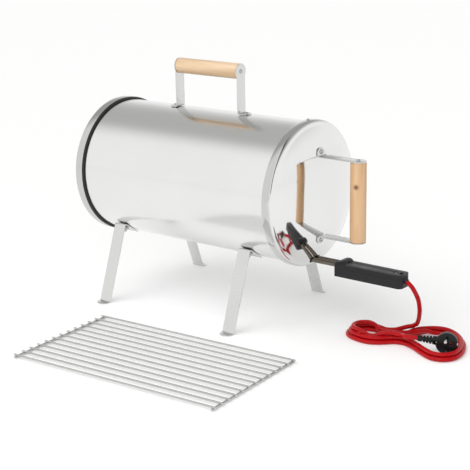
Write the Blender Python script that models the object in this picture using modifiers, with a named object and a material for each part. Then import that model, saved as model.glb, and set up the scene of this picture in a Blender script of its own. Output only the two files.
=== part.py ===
"""Electric drum smoker: a steel drum on four strip legs, a lift-off door, a plug-in heating element with its
mains cord, a drip tray and a loose grate. Metres, +Z up, +X along the drum's axis towards the door."""

import math

import bmesh
import bpy
from mathutils import Matrix, Vector

# ---- Driving dimensions ----------------------------------------------------------------------------------
GAP = 0.0003                # gap that touching solids keep
AXIS_Z = 0.228              # drum axis above the floor
DRUM_R = 0.1205             # outside radius of the drum
SHEET = 0.001               # drum and cover sheet
DRUM_BACK = -0.190
DRUM_FRONT = 0.234
COVER_R = 0.125             # outside radius of the rear cover and of the door
SKIRT = 0.0165              # length of their skirts
DOOR_DOME = 0.018           # how far their faces bulge past the skirt's fold
REAR_DOME = 0.016
DOOR_SHOULDER = 0.0075      # outside radius of the fold between face and skirt
REAR_SHOULDER = 0.0025
DOOR_FOLD = 0.240           # x of the door's fold
REAR_FOLD = -0.1995
SEAL_WIDTH = 0.0032

STRIP = 0.0016              # thickness of every bent strip
LEG_X = (-0.131, 0.156)
LEG_WIDTH = 0.025
LEG_ANGLE = math.radians(34)   # middle of a leg's tab, from straight down
LEG_TAB = 0.038
FOOT_Y = 0.133
FOOT_TAB = 0.016
BEND_R = 0.003

LEG_BOLT = (0.0025, 0.0125, 0.0048)     # shank radius, length and head radius, as in the next two
STRAP_SCREW = (0.002, 0.0095, 0.0042)
GRIP_SCREW = (0.0018, 0.020, 0.0036)
HANDLE_SCREW = (0.0015, 0.0115, 0.003)
STRAP_NUT = (0.007, 0.003)              # across the flats, and height

GRIP_R = 0.0135
TOP_GRIP_Z = 0.4225
TOP_STRIP_X = (-0.050, 0.088)
HANDLE_WIDTH = 0.022
HANDLE_TAB = 0.019
DOOR_GRIP_X = 0.3285
DOOR_STRIP_Z = (0.1575, 0.2948)
DOOR_FOOT = 0.0145

TUBE_R = 0.004
TUBE_PITCH = 0.014
TUBE_Z = 0.1140
ELEMENT_TIP = -0.112
SLOT = (0.028, 0.0105)      # width and height of the slot in the door
GRIP_BOX = (0.2905, 0.4205)  # x of the element handle's ends
GRIP_WIDTH = 0.030
GRIP_Z = (0.0960, 0.1115, 0.1185)
GRIP_WALL = 0.0025
HUMP = (0.0215, 0.0045)     # length and height of the raised front of the handle
CORD_R = 0.00375
EXIT_TILT = math.radians(38)
GROMMET_LIP = 0.0025

PLUG_FACE = (0.5034, -0.0083, 0.0187)
PLUG_TURN = math.radians(-68)   # heading of the plug's pins
PLUG_R = 0.0182
PLUG_TAIL = 0.048           # from the plug's axis to the end of its tail

TRAY_X = (-0.175, 0.215)
TRAY_FLOOR = 0.050          # half width of the tray's floor, of its open top and of its rim
TRAY_TOP = 0.070
TRAY_RIM = 0.0796
TRAY_Z = (0.1270, 0.1400)
TRAY_SHEET = 0.0008

GRATE_SIZE = (0.400, 0.2175)
GRATE_CORNER = (-0.0582, -0.4205)
GRATE_TURN = math.radians(3.6)
GRATE_RODS = 13
ROD_R = 0.0016
CROSS_R = 0.0021

# The origin is on the floor, midway between the outermost points of everything but the cord.
ORIGIN = Vector((0.1055, -0.138, 0.0))

STEPS = 48                  # facets round the drum and the covers


# ---- Scene, materials and small helpers ------------------------------------------------------------------
def clear_scene():
    for obj in list(bpy.data.objects):
        bpy.data.objects.remove(obj, do_unlink=True)


def new_collection(name):
    collection = bpy.data.collections.new(name)
    bpy.context.scene.collection.children.link(collection)
    return collection


def material(name, color, roughness, metallic=0.0):
    made = bpy.data.materials.new(name)
    made.use_nodes = True
    shader = made.node_tree.nodes["Principled BSDF"]
    shader.inputs["Base Color"].default_value = (*color, 1.0)
    shader.inputs["Roughness"].default_value = roughness
    shader.inputs["Metallic"].default_value = metallic
    return made


clear_scene()
PARTS = new_collection("drum_smoker")
CUTTERS = new_collection("cutters")

STEEL = material("polished_steel", (0.78, 0.78, 0.77), 0.18, 1.0)
STRIP_STEEL = material("satin_strip_steel", (0.62, 0.62, 0.60), 0.35, 1.0)
ZINC = material("zinc_fastener", (0.55, 0.55, 0.54), 0.4, 1.0)
BEECH = material("pale_wood", (0.74, 0.56, 0.36), 0.55)
SEAL = material("black_seal", (0.015, 0.015, 0.016), 0.6)
TUBE_STEEL = material("element_tube", (0.20, 0.18, 0.15), 0.35, 1.0)
PLASTIC = material("black_plastic", (0.035, 0.036, 0.04), 0.45)
RUBBER = material("black_rubber", (0.02, 0.02, 0.02), 0.6)
CORD = material("red_cord", (0.62, 0.01, 0.015), 0.35)
PINS = material("nickel_pin", (0.7, 0.68, 0.64), 0.2, 1.0)
TRAY = material("tray_steel", (0.6, 0.6, 0.6), 0.3, 1.0)
WIRE = material("chromed_wire", (0.6, 0.6, 0.6), 0.25, 1.0)


def empty(name, location, parent=None):
    made = bpy.data.objects.new(name, None)
    made.empty_display_size = 0.02
    made.location = location
    made.parent = parent
    PARTS.objects.link(made)
    return made


FRAME = empty("drum_frame", -ORIGIN)
DOOR_AXIS = empty("door_slide_axis", (DOOR_FOLD, 0, AXIS_Z), FRAME)
ELEMENT_AXIS = empty("element_slide_axis", (DOOR_FOLD, 0, TUBE_Z), DOOR_AXIS)
TRAY_AXIS = empty("drip_tray_slide_axis", (TRAY_X[1], 0, TUBE_Z), FRAME)
GRATE_AXIS = empty("grate_lift_axis", (*GRATE_CORNER, 0), FRAME)


def under(obj, parent):
    """Hangs a piece that was placed in drum coordinates on a parent empty."""
    offset = Vector()
    node = parent
    while node is not FRAME:
        offset += node.location
        node = node.parent
    obj.parent = parent
    obj.location = Vector(obj.location) - offset
    return obj


def add(name, mesh, look, parent=FRAME, location=(0, 0, 0), rotation=(0, 0, 0)):
    obj = bpy.data.objects.new(name, mesh)
    PARTS.objects.link(obj)
    obj.location = location
    obj.rotation_euler = rotation
    if look:
        obj.data.materials.append(look)
    return under(obj, parent)


def smooth(obj, angle=40):
    obj.data.shade_smooth()
    obj.data.set_sharp_from_angle(angle=math.radians(angle))
    return obj


def turned(name, profile, look, parent, location=(0, 0, 0), rotation=(0, 0, 0), steps=STEPS):
    """A solid of revolution about local Z; the profile of (radius, height) runs down its outer side."""
    mesh = bpy.data.meshes.new(name)
    points = [(radius, 0, height) for radius, height in profile]
    closed = profile[0][0] > 0
    edges = [(i, i + 1) for i in range(len(points) - 1)]
    if closed:
        edges.append((len(points) - 1, 0))
    mesh.from_pydata(points, edges, [])
    obj = add(name, mesh, look, parent, location, rotation)
    screw = obj.modifiers.new("turn", "SCREW")
    screw.axis = "Z"
    screw.steps = screw.render_steps = steps
    screw.use_merge_vertices = True
    screw.merge_threshold = 0.00002
    screw.use_smooth_shade = True
    return obj


def along(direction):
    """The rotation that turns local Z to a direction."""
    return Vector(direction).to_track_quat("Z", "Y").to_euler()


ALONG_X = along((1, 0, 0))


def cylinder_mesh(name, radius, length, sides, radius_2=None):
    """A cylinder or cone frustum from the origin up local Z."""
    bm = bmesh.new()
    bmesh.ops.create_cone(bm, cap_ends=True, segments=sides, radius1=radius,
                          radius2=radius if radius_2 is None else radius_2, depth=length)
    bmesh.ops.translate(bm, verts=bm.verts, vec=(0, 0, length / 2))
    mesh = bpy.data.meshes.new(name)
    bm.to_mesh(mesh)
    bm.free()
    return mesh


def box_mesh(name, size):
    bm = bmesh.new()
    bmesh.ops.create_cube(bm, size=1.0)
    bmesh.ops.scale(bm, verts=bm.verts, vec=size)
    mesh = bpy.data.meshes.new(name)
    bm.to_mesh(mesh)
    bm.free()
    return mesh


def cutter(name, mesh, location, rotation=(0, 0, 0)):
    obj = bpy.data.objects.new(name, mesh)
    CUTTERS.objects.link(obj)
    obj.location = Vector(location) - ORIGIN
    obj.rotation_euler = rotation
    obj.hide_render = True
    obj.display_type = "WIRE"
    return obj


def boolean(obj, other, operation="DIFFERENCE"):
    modifier = obj.modifiers.new(f"{operation.lower()}_{other.name}", "BOOLEAN")
    modifier.operation = operation
    modifier.solver = "EXACT"
    modifier.object = other
    return modifier


def hole(targets, name, centre, direction, radius, reach=0.012, sides=12):
    """Cuts a round hole through each target, centred on a point and running along a direction."""
    direction = Vector(direction).normalized()
    tool = cutter(name, cylinder_mesh(name, radius, 2 * reach, sides),
                  Vector(centre) - reach * direction, along(direction))
    for target in targets:
        boolean(target, tool)
    return tool


# ---- Bent strips -----------------------------------------------------------------------------------------
def rounded(corners, radius=BEND_R, steps=3):
    """A path through the corners with each inner corner replaced by an arc."""
    path = [Vector(corners[0])]
    for before, corner, after in zip(corners, corners[1:], corners[2:]):
        corner = Vector(corner)
        back = (Vector(before) - corner).normalized()
        ahead = (Vector(after) - corner).normalized()
        half = back.angle(ahead) / 2
        reach = radius / math.tan(half)
        centre = corner + (back + ahead).normalized() * (radius / math.sin(half))
        start = corner + back * reach - centre
        turn = math.pi - 2 * half
        axis = start.cross(corner + ahead * reach - centre).normalized()
        for step in range(steps + 1):
            path.append(centre + Matrix.Rotation(turn * step / steps, 3, axis) @ start)
    path.append(Vector(corners[-1]))
    return path


def end_cap(tip, inward, half, radius, steps=4):
    """(point, half width) pairs of a strip's round end, from the tip to where it has its half width."""
    pairs = []
    reach = radius + math.sqrt(max(radius ** 2 - half ** 2, 0))
    for step in range(steps + 1):
        back = reach * (0.04 + 0.96 * (step / steps) ** 1.6)
        pairs.append((tip + inward * back, math.sqrt(max(radius ** 2 - (radius - back) ** 2, 0))))
    return pairs


def strip(name, corners, width_axis, half, look, parent, round_ends=(0, 0)):
    """A flat strip bent along its path: a ribbon across width_axis, thickened by Solidify."""
    path = rounded([Vector(corner) for corner in corners])
    pairs = [(point, half) for point in path]
    start_r, end_r = round_ends
    if start_r:
        inward = (path[1] - path[0]).normalized()
        pairs = end_cap(path[0], inward, half, start_r) + pairs[1:]
    if end_r:
        inward = (path[-2] - path[-1]).normalized()
        pairs = pairs[:-1] + end_cap(path[-1], inward, half, end_r)[::-1]
    axis = Vector(width_axis)
    bm = bmesh.new()
    rows = [(bm.verts.new(point - axis * w), bm.verts.new(point + axis * w)) for point, w in pairs]
    for (a, b), (c, d) in zip(rows, rows[1:]):
        bm.faces.new((a, b, d, c))
    mesh = bpy.data.meshes.new(name)
    bm.to_mesh(mesh)
    bm.free()
    obj = add(name, mesh, look, parent)
    solidify = obj.modifiers.new("thickness", "SOLIDIFY")
    solidify.thickness = STRIP
    solidify.offset = 0
    solidify.use_even_offset = True
    return obj


# ---- Fasteners -------------------------------------------------------------------------------------------
def pan_screw(name, head_under, direction, shank, length, head, parent, look=ZINC, steps=12):
    """A pan-head screw: the underside of its head at a point, its shank along a direction."""
    profile = [(0, head * 0.62), (head * 0.6, head * 0.55), (head, head * 0.2), (head, 0.0), (shank, 0.0),
               (shank, -length + shank * 0.4), (shank * 0.6, -length), (0, -length)]
    return turned(name, profile, look, parent, head_under, along(-Vector(direction)), steps)


def nut(name, seat, direction, bore, parent, across=0.008, height=0.0035):
    """A hexagon nut standing on its seat, cut for its bolt."""
    mesh = cylinder_mesh(name, across / math.sqrt(3), height, 6)
    obj = add(name, mesh, ZINC, parent, seat, along(direction))
    hole([obj], f"{name}_bore", seat, direction, bore, 0.008, 12)
    return obj


# ---- Drum, covers and seal -------------------------------------------------------------------------------
def dome_x(radius, shoulder=DOOR_SHOULDER, dome=DOOR_DOME):
    """Height of a cover's face above its fold: flat in the middle and steeper towards its rim."""
    return dome * (1 - (radius / (COVER_R - shoulder)) ** 3)


def cover_profile(shoulder, dome):
    """A cover's section, (radius, height): bulged face, rounded shoulder, skirt and its sheet's thickness."""
    rim = COVER_R - shoulder
    face = [rim * step / 7 for step in range(8)]
    outer = [(radius, dome_x(radius, shoulder, dome)) for radius in face]
    fold = [(rim + shoulder * math.sin(a), -shoulder + shoulder * math.cos(a))
            for a in (math.radians(30), math.radians(60), math.radians(90))]
    inner_fold = shoulder - SHEET
    inside = [(rim + inner_fold * math.sin(a), -shoulder + inner_fold * math.cos(a))
              for a in (math.radians(90), math.radians(45))]
    inner_face = [(radius, dome_x(radius, shoulder, dome) - SHEET) for radius in face[::-1]]
    skirt = [(COVER_R, -SKIRT), (COVER_R - SHEET, -SKIRT)]
    return outer + fold + skirt + inside + inner_face


drum = turned("drum_shell", [(DRUM_R, DRUM_FRONT), (DRUM_R, DRUM_BACK), (DRUM_R - SHEET, DRUM_BACK),
                             (DRUM_R - SHEET, DRUM_FRONT)], STEEL, FRAME, (0, 0, AXIS_Z), ALONG_X)
rear_cover = turned("rear_cover", cover_profile(REAR_SHOULDER, REAR_DOME), STEEL, FRAME,
                    (REAR_FOLD, 0, AXIS_Z), along((-1, 0, 0)))
door = turned("door", cover_profile(DOOR_SHOULDER, DOOR_DOME), STEEL, DOOR_AXIS, (DOOR_FOLD, 0, AXIS_Z),
              ALONG_X)

seal_x = REAR_FOLD + SKIRT + GAP
turned("rear_seal_ring", [(COVER_R - 0.0012, SEAL_WIDTH), (COVER_R - 0.0006, SEAL_WIDTH - 0.0006),
                          (COVER_R - 0.0006, 0), (COVER_R - SHEET - GAP, 0), (COVER_R - SHEET - GAP, -0.006),
                          (DRUM_R + GAP, -0.006), (DRUM_R + GAP, SEAL_WIDTH)],
       SEAL, FRAME, (seal_x, 0, AXIS_Z), ALONG_X)

slot_tool = cutter("element_slot", box_mesh("element_slot", (0.05, SLOT[0], SLOT[1])),
                   (DOOR_FOLD + 0.02, 0, TUBE_Z))
bevel = slot_tool.modifiers.new("round", "BEVEL")
bevel.width = SLOT[1] * 0.45
bevel.segments = 3
boolean(door, slot_tool)


# ---- Door rivets and the leaf springs that they hold -----------------------------------------------------
def door_spring(name, side):
    """A leaf spring inside the door's skirt, pressing on the drum, and the rivet that holds it."""
    inside = COVER_R - SHEET - GAP - 0.0004
    rivet_x = DOOR_FOLD - 0.0115
    base = AXIS_Z + side * inside
    leaf = [(rivet_x - 0.0060, 0, base - side * 0.0004), (rivet_x + 0.0026, 0, base),
            (rivet_x + 0.0048, 0, base - side * 0.0014)]
    bm = bmesh.new()
    rows = [(bm.verts.new(Vector(p) - Vector((0, 0.006, 0))), bm.verts.new(Vector(p) + Vector((0, 0.006, 0))))
            for p in leaf]
    for (a, b), (c, d) in zip(rows, rows[1:]):
        bm.faces.new((a, b, d, c))
    mesh = bpy.data.meshes.new(name)
    bm.to_mesh(mesh)
    bm.free()
    spring = add(f"door_spring_{name}", mesh, STRIP_STEEL, DOOR_AXIS)
    solid = spring.modifiers.new("thickness", "SOLIDIFY")
    solid.thickness = 0.0005
    solid.offset = 0
    up = Vector((0, 0, side))
    wall = Vector((rivet_x, 0, AXIS_Z + side * COVER_R))
    hole([door, spring], f"door_rivet_{name}_hole", wall, up, 0.0019, 0.004)
    profile = [(0, 0.0016), (0.0024, 0.0011), (0.0034, 0.0), (0.0016, 0.0), (0.0016, -0.0020), (0, -0.0020)]
    turned(f"door_rivet_{name}", profile, ZINC, DOOR_AXIS, wall + up * GAP, along(up), 12)


door_spring("upper", 1)
door_spring("lower", -1)


# ---- Legs ------------------------------------------------------------------------------------------------
def leg(name, x, side):
    """A strip leg: a tab bolted flush under the drum, a splayed shank and a foot bent flat on the floor."""
    radial = Vector((0, side * math.sin(LEG_ANGLE), -math.cos(LEG_ANGLE)))
    upward = Vector((0, side * math.cos(LEG_ANGLE), math.sin(LEG_ANGLE)))
    centre = Vector((x, 0, AXIS_Z))
    tab = centre + radial * (DRUM_R + GAP + STRIP / 2)
    corners = [tab - upward * LEG_TAB / 2, tab + upward * LEG_TAB / 2,
               Vector((x, side * FOOT_Y, STRIP / 2)), Vector((x, side * (FOOT_Y + FOOT_TAB), STRIP / 2))]
    half = LEG_WIDTH / 2
    piece = strip(f"leg_{name}", corners, (1, 0, 0), half, STRIP_STEEL, FRAME, (0, half))
    hole([drum, piece], f"leg_bolt_{name}_hole", tab, radial, 0.0029)
    head = centre + radial * (DRUM_R - SHEET - 2 * GAP)
    pan_screw(f"leg_bolt_{name}", head, radial, *LEG_BOLT, FRAME)
    nut(f"leg_nut_{name}", tab + radial * (STRIP / 2 + GAP), radial, 0.0028, FRAME)


for side_name, side in (("front", -1), ("back", 1)):
    for end_name, x in zip(("rear", "door"), LEG_X):
        leg(f"{side_name}_{end_name}", x, side)


# ---- Wooden handles --------------------------------------------------------------------------------------
def grip(name, start, end, parent):
    """A turned wooden dowel between two strips."""
    start, end = Vector(start), Vector(end)
    length = (end - start).length
    ease = 0.0012
    profile = [(0, length), (GRIP_R - ease, length), (GRIP_R, length - ease), (GRIP_R, ease),
               (GRIP_R - ease, 0), (0, 0)]
    obj = turned(name, profile, BEECH, parent, start, along(end - start), 28)
    for point, direction in ((start, end - start), (end, start - end)):
        hole([obj], f"{name}_pilot_{'a' if point is start else 'b'}", point, direction, 0.0021, 0.021, 10)
    return obj


def top_handle():
    drum_top = AXIS_Z + DRUM_R
    low, high = TOP_STRIP_X
    inner = STRIP / 2 + GAP
    grip("top_handle_grip", (low + inner, 0, TOP_GRIP_Z), (high - inner, 0, TOP_GRIP_Z), FRAME)
    for name, x, out in (("rear", low, -1), ("door", high, 1)):
        seat = drum_top + GAP + STRIP / 2
        corners = [(x + out * HANDLE_TAB, 0, seat), (x, 0, seat), (x, 0, TOP_GRIP_Z + GRIP_R)]
        piece = strip(f"top_bracket_{name}", corners, (0, 1, 0), HANDLE_WIDTH / 2, STRIP_STEEL, FRAME,
                      (HANDLE_WIDTH / 2 * 1.05, GRIP_R))
        screw_at = Vector((x + out * HANDLE_TAB * 0.58, 0, seat))
        down = Vector((0, 0, -1))
        hole([drum, piece], f"top_screw_{name}_hole", screw_at, down, 0.0024)
        pan_screw(f"top_screw_{name}", screw_at + Vector((0, 0, STRIP / 2 + GAP)), down, *STRAP_SCREW, FRAME)
        nut_seat = Vector((screw_at.x, 0, drum_top - SHEET - 2 * GAP))
        nut(f"top_nut_{name}", nut_seat, down, 0.0023, FRAME, *STRAP_NUT)
        end = Vector((x, 0, TOP_GRIP_Z))
        axis = Vector((-out, 0, 0))
        hole([piece], f"top_grip_screw_{name}_hole", end, axis, 0.0021)
        pan_screw(f"top_grip_screw_{name}", end - axis * (STRIP / 2 + GAP), axis, *GRIP_SCREW, FRAME)


def door_handle():
    inner = STRIP / 2 + GAP
    low, high = DOOR_STRIP_Z
    grip("door_handle_grip", (DOOR_GRIP_X, 0, low + inner), (DOOR_GRIP_X, 0, high - inner), DOOR_AXIS)
    for name, z, out in (("lower", low, -1), ("upper", high, 1)):
        near = abs(z - AXIS_Z)
        far = near + DOOR_FOOT
        clear = GAP + STRIP / 2 + 0.0002
        foot_in = Vector((DOOR_FOLD + dome_x(near) + clear, 0, z))
        foot_out = Vector((DOOR_FOLD + dome_x(far) + clear, 0, AXIS_Z + out * far))
        corners = [foot_out, foot_in, Vector((DOOR_GRIP_X + GRIP_R, 0, z))]
        piece = strip(f"door_bracket_{name}", corners, (0, 1, 0), HANDLE_WIDTH / 2, STRIP_STEEL, DOOR_AXIS,
                      (HANDLE_WIDTH / 2, GRIP_R))
        middle = foot_in.lerp(foot_out, 0.50)
        tangent = (foot_out - foot_in).normalized()
        inward = Vector((-abs(tangent.z), 0, tangent.x * (1 if tangent.z > 0 else -1))).normalized()
        hole([door, piece], f"door_screw_{name}_hole", middle, inward, 0.0024)
        pan_screw(f"door_screw_{name}", middle - inward * (STRIP / 2 + GAP), inward, *STRAP_SCREW, DOOR_AXIS)
        nut_seat = middle + inward * (STRIP / 2 + SHEET + 3 * GAP)
        nut(f"door_nut_{name}", nut_seat, inward, 0.0023, DOOR_AXIS, *STRAP_NUT)
        end = Vector((DOOR_GRIP_X, 0, z))
        axis = Vector((0, 0, -out))
        hole([piece], f"door_grip_screw_{name}_hole", end, axis, 0.0021)
        pan_screw(f"door_grip_screw_{name}", end - axis * (STRIP / 2 + GAP), axis, *GRIP_SCREW, DOOR_AXIS)


top_handle()
door_handle()


# ---- Curves as solids ------------------------------------------------------------------------------------
def swept(name, points, radius, look, parent, sides=2):
    """A tube along a list of points: a POLY curve with a round bevel and filled caps."""
    curve = bpy.data.curves.new(name, "CURVE")
    curve.dimensions = "3D"
    curve.bevel_depth = radius
    curve.bevel_resolution = sides
    curve.use_fill_caps = True
    spline = curve.splines.new("POLY")
    spline.points.add(len(points) - 1)
    for target, point in zip(spline.points, points):
        target.co = (*point, 1)
    return add(name, curve, look, parent)


def meshed(obj):
    """The object's evaluated curve as a mesh object, with its caps welded."""
    mesh = bpy.data.meshes.new_from_object(obj.evaluated_get(bpy.context.evaluated_depsgraph_get()))
    bm = bmesh.new()
    bm.from_mesh(mesh)
    bmesh.ops.remove_doubles(bm, verts=bm.verts, dist=0.00001)
    bm.to_mesh(mesh)
    bm.free()
    made = bpy.data.objects.new(obj.name, mesh)
    name, world, parent = obj.name, obj.matrix_world.copy(), obj.parent
    bpy.data.objects.remove(obj, do_unlink=True)
    made.name = name
    PARTS.objects.link(made)
    made.parent = parent
    made.matrix_world = world
    return made


# ---- Heating element and its handle ----------------------------------------------------------------------
def hairpin_points():
    half = TUBE_PITCH / 2
    tail = GRIP_BOX[0] + 0.0165
    turn = [(ELEMENT_TIP - half * math.sin(a), half * math.cos(a), TUBE_Z)
            for a in [math.pi * step / 8 for step in range(9)]]
    return [(tail, half, TUBE_Z)] + turn + [(tail, -half, TUBE_Z)]


swept("element_hairpin", hairpin_points(), TUBE_R, TUBE_STEEL, ELEMENT_AXIS, 3)


def handle_outline(name, z_low, z_high):
    """The plan outline of the element's handle between two heights, with rounded corners."""
    front, rear = GRIP_BOX
    half = GRIP_WIDTH / 2
    corners = [(front, -half, 0.003), (rear, -half, 0.008), (rear, half, 0.008), (front, half, 0.003)]
    bm = bmesh.new()
    outline = []
    for x, y, radius in corners:
        cx = x + (radius if x == front else -radius)
        cy = y + (radius if y < 0 else -radius)
        turns = {(True, True): 180, (False, True): 270, (False, False): 0, (True, False): 90}
        start = turns[(x == front, y < 0)]
        for step in range(5):
            a = math.radians(start + 22.5 * step)
            outline.append(bm.verts.new((cx + radius * math.cos(a), cy + radius * math.sin(a), z_low)))
    bottom = bm.faces.new(outline)
    grown = bmesh.ops.extrude_face_region(bm, geom=[bottom])
    verts = [item for item in grown["geom"] if isinstance(item, bmesh.types.BMVert)]
    bmesh.ops.translate(bm, verts=verts, vec=(0, 0, z_high - z_low))
    bmesh.ops.recalc_face_normals(bm, faces=bm.faces)
    mesh = bpy.data.meshes.new(name)
    bm.to_mesh(mesh)
    bm.free()
    return mesh


def prism(name, outline, half):
    """A side outline of (x, z) points as a solid between y = -half and y = half."""
    bm = bmesh.new()
    face = bm.faces.new([bm.verts.new((x, -half, z)) for x, z in outline])
    grown = bmesh.ops.extrude_face_region(bm, geom=[face])
    verts = [item for item in grown["geom"] if isinstance(item, bmesh.types.BMVert)]
    bmesh.ops.translate(bm, verts=verts, vec=(0, 2 * half, 0))
    bmesh.ops.recalc_face_normals(bm, faces=bm.faces)
    mesh = bpy.data.meshes.new(name)
    bm.to_mesh(mesh)
    bm.free()
    return mesh


def element_handle():
    """The two shells that clamp the tubes' ends and the cord's grommet, and their two screws."""
    low, split, high = GRIP_Z
    front, rear = GRIP_BOX
    lower, upper = (add(name, handle_outline(name, z_low, z_high), PLASTIC, ELEMENT_AXIS)
                    for name, z_low, z_high in (("element_handle_lower", low, split - GAP / 2),
                                                ("element_handle_upper", split + GAP / 2, high)))
    length, rise = HUMP
    sunk = high - 0.003
    hump = [(front + 0.0008, sunk), (front + length, sunk), (front + length, high - 0.0004),
            (front + length * 0.86, high + rise * 0.6), (front + length * 0.64, high + rise),
            (front + length * 0.36, high + rise * 0.82), (front + 0.0008, high)]
    hump_solid = prism("handle_hump", hump, GRIP_WIDTH / 2 - 0.0008)
    boolean(upper, cutter("handle_hump", hump_solid, (0, 0, 0)), "UNION")
    chamber_size = (rear - front - 0.054, GRIP_WIDTH - 0.010, high - low - 2 * GRIP_WALL)
    chamber = cutter("terminal_chamber", box_mesh("terminal_chamber", chamber_size),
                     ((front + rear) / 2 - 0.001, 0, (low + high) / 2))
    for shell in (lower, upper):
        boolean(shell, chamber)
    for name, y in (("left", -TUBE_PITCH / 2), ("right", TUBE_PITCH / 2)):
        channel = (front + 0.007, y, TUBE_Z)
        hole([lower, upper], f"tube_channel_{name}", channel, (1, 0, 0), TUBE_R + GAP, 0.0105, 16)
    for name, x in (("front", front + 0.0225), ("rear", rear - 0.0185)):
        hole([lower, upper], f"handle_screw_{name}_hole", (x, 0, split - 0.002), (0, 0, 1), 0.0019, 0.0085, 10)
        hole([upper], f"handle_screw_{name}_recess", (x, 0, high + 0.003), (0, 0, 1), 0.0037, 0.0055, 12)
        seat = (x, 0, high - 0.0025 + GAP)
        pan_screw(f"element_handle_screw_{name}", seat, (0, 0, -1), *HANDLE_SCREW, ELEMENT_AXIS)
    down = Vector((math.cos(EXIT_TILT), 0, -math.sin(EXIT_TILT)))
    mouth = Vector((rear + 0.0012, 0, split - 0.0035))
    hole([lower, upper], "grommet_pocket", mouth - down * 0.006, down, 0.0056, 0.010, 16)
    profile = [(CORD_R + GAP, GROMMET_LIP), (0.0046, GROMMET_LIP), (0.0053, -0.0130), (CORD_R + GAP, -0.0130)]
    turned("cord_grommet", profile, RUBBER, ELEMENT_AXIS, mouth, along(down), 16)
    return mouth, down


EXIT, EXIT_DIRECTION = element_handle()


# ---- Mains cord, its bundle and its plug -----------------------------------------------------------------
CORD_ROUTE = [
    (0.4335, 0.0018, 0.0968), (0.4390, 0.0095, 0.0780), (0.4380, 0.0175, 0.0580), (0.4320, 0.0265, 0.0385),
    (0.4240, 0.0345, 0.0245), (0.4185, 0.0385, 0.0180),
]


def smooth_route(points, spacing):
    """Points at an even spacing along a Catmull-Rom curve through the route's points."""
    points = [Vector(p) for p in points]
    padded = [2 * points[0] - points[1]] + points + [2 * points[-1] - points[-2]]
    dense = []
    for p0, p1, p2, p3 in zip(padded, padded[1:], padded[2:], padded[3:]):
        for step in range(16):
            t = step / 16
            dense.append(0.5 * (2 * p1 + (p2 - p0) * t + (2 * p0 - 5 * p1 + 4 * p2 - p3) * t ** 2
                                + (3 * p1 - p0 - 3 * p2 + p3) * t ** 3))
    dense.append(points[-1])
    total = sum((b - a).length for a, b in zip(dense, dense[1:]))
    count = max(2, round(total / spacing))
    even, walked, target = [dense[0]], 0.0, total / count
    for a, b in zip(dense, dense[1:]):
        length = (b - a).length
        while length and walked + length >= target - 1e-9 and len(even) < count:
            even.append(a.lerp(b, (target - walked) / length))
            target += total / count
        walked += length
    even.append(dense[-1])
    return even


START = EXIT + EXIT_DIRECTION * (GROMMET_LIP + GAP)
swept("cord_tube", smooth_route([START, EXIT + EXIT_DIRECTION * 0.008] + CORD_ROUTE, 2.2 * 2 * CORD_R), CORD_R,
      CORD, ELEMENT_AXIS, 3)

BUNDLE_HEIGHT = 0.0145
WAIST_HEIGHT = 0.0235
BUNDLE_OUTLINE = [
    (0.399, 0.027), (0.372, 0.030), (0.345, 0.034), (0.322, 0.032), (0.311, 0.017), (0.313, -0.006),
    (0.322, -0.032),
    (0.338, -0.045), (0.362, -0.049), (0.388, -0.046), (0.403, -0.032), (0.416, -0.025), (0.432, -0.024),
    (0.448, -0.030),
    (0.470, -0.042), (0.495, -0.052), (0.516, -0.053), (0.530, -0.043), (0.5355, -0.025), (0.534, -0.004),
    (0.526, 0.022),
    (0.510, 0.047), (0.488, 0.067), (0.462, 0.083), (0.440, 0.091), (0.426, 0.085), (0.417, 0.067),
    (0.410, 0.045),
]
BUNDLE_HOLE = [
    (0.447, 0.000), (0.466, -0.0135), (0.4825, -0.0225), (0.497, -0.0285), (0.511, -0.0320), (0.5205, -0.0290),
    (0.5245, -0.0180), (0.5235, -0.0020), (0.5180, 0.0160), (0.507, 0.031), (0.490, 0.044), (0.470, 0.059),
    (0.450, 0.068), (0.437, 0.062), (0.432, 0.045), (0.436, 0.022),
]
WAIST_OUTLINE = [
    (0.4575, -0.0236), (0.4511, -0.0078), (0.436, 0.010), (0.412, 0.024), (0.400, 0.020), (0.397, -0.004),
    (0.405, -0.018), (0.425, -0.023),
]


def slab(name, outlines, height, rounded_off, look, parent):
    """Closed outlines on the floor, the second one a hole, raised to a height: a filled curve, extruded."""
    curve = bpy.data.curves.new(name, "CURVE")
    curve.dimensions = "2D"
    curve.fill_mode = "BOTH"
    curve.extrude = height / 2
    curve.resolution_u = 2
    for outline in outlines:
        spline = curve.splines.new("BEZIER")
        spline.bezier_points.add(len(outline) - 1)
        for knot, (x, y) in zip(spline.bezier_points, outline):
            knot.co = (x, y, 0)
            knot.handle_left_type = knot.handle_right_type = "AUTO" if rounded_off else "VECTOR"
        spline.use_cyclic_u = True
    return meshed(add(name, curve, look, parent, (0, 0, height / 2 + GAP)))


def as_cutter(obj):
    PARTS.objects.unlink(obj)
    CUTTERS.objects.link(obj)
    obj.hide_render = True
    obj.display_type = "WIRE"


def cord_bundle():
    """The shape of the folded cord: a ring of turns round the plug, a full lobe and the waist between."""
    bundle = slab("cord_bundle", [BUNDLE_OUTLINE, BUNDLE_HOLE], BUNDLE_HEIGHT, True, CORD, ELEMENT_AXIS)
    waist = slab("bundle_waist", [WAIST_OUTLINE], WAIST_HEIGHT - GAP, False, None, FRAME)
    waist.location.z += GAP
    as_cutter(waist)
    boolean(bundle, waist, "UNION")


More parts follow.
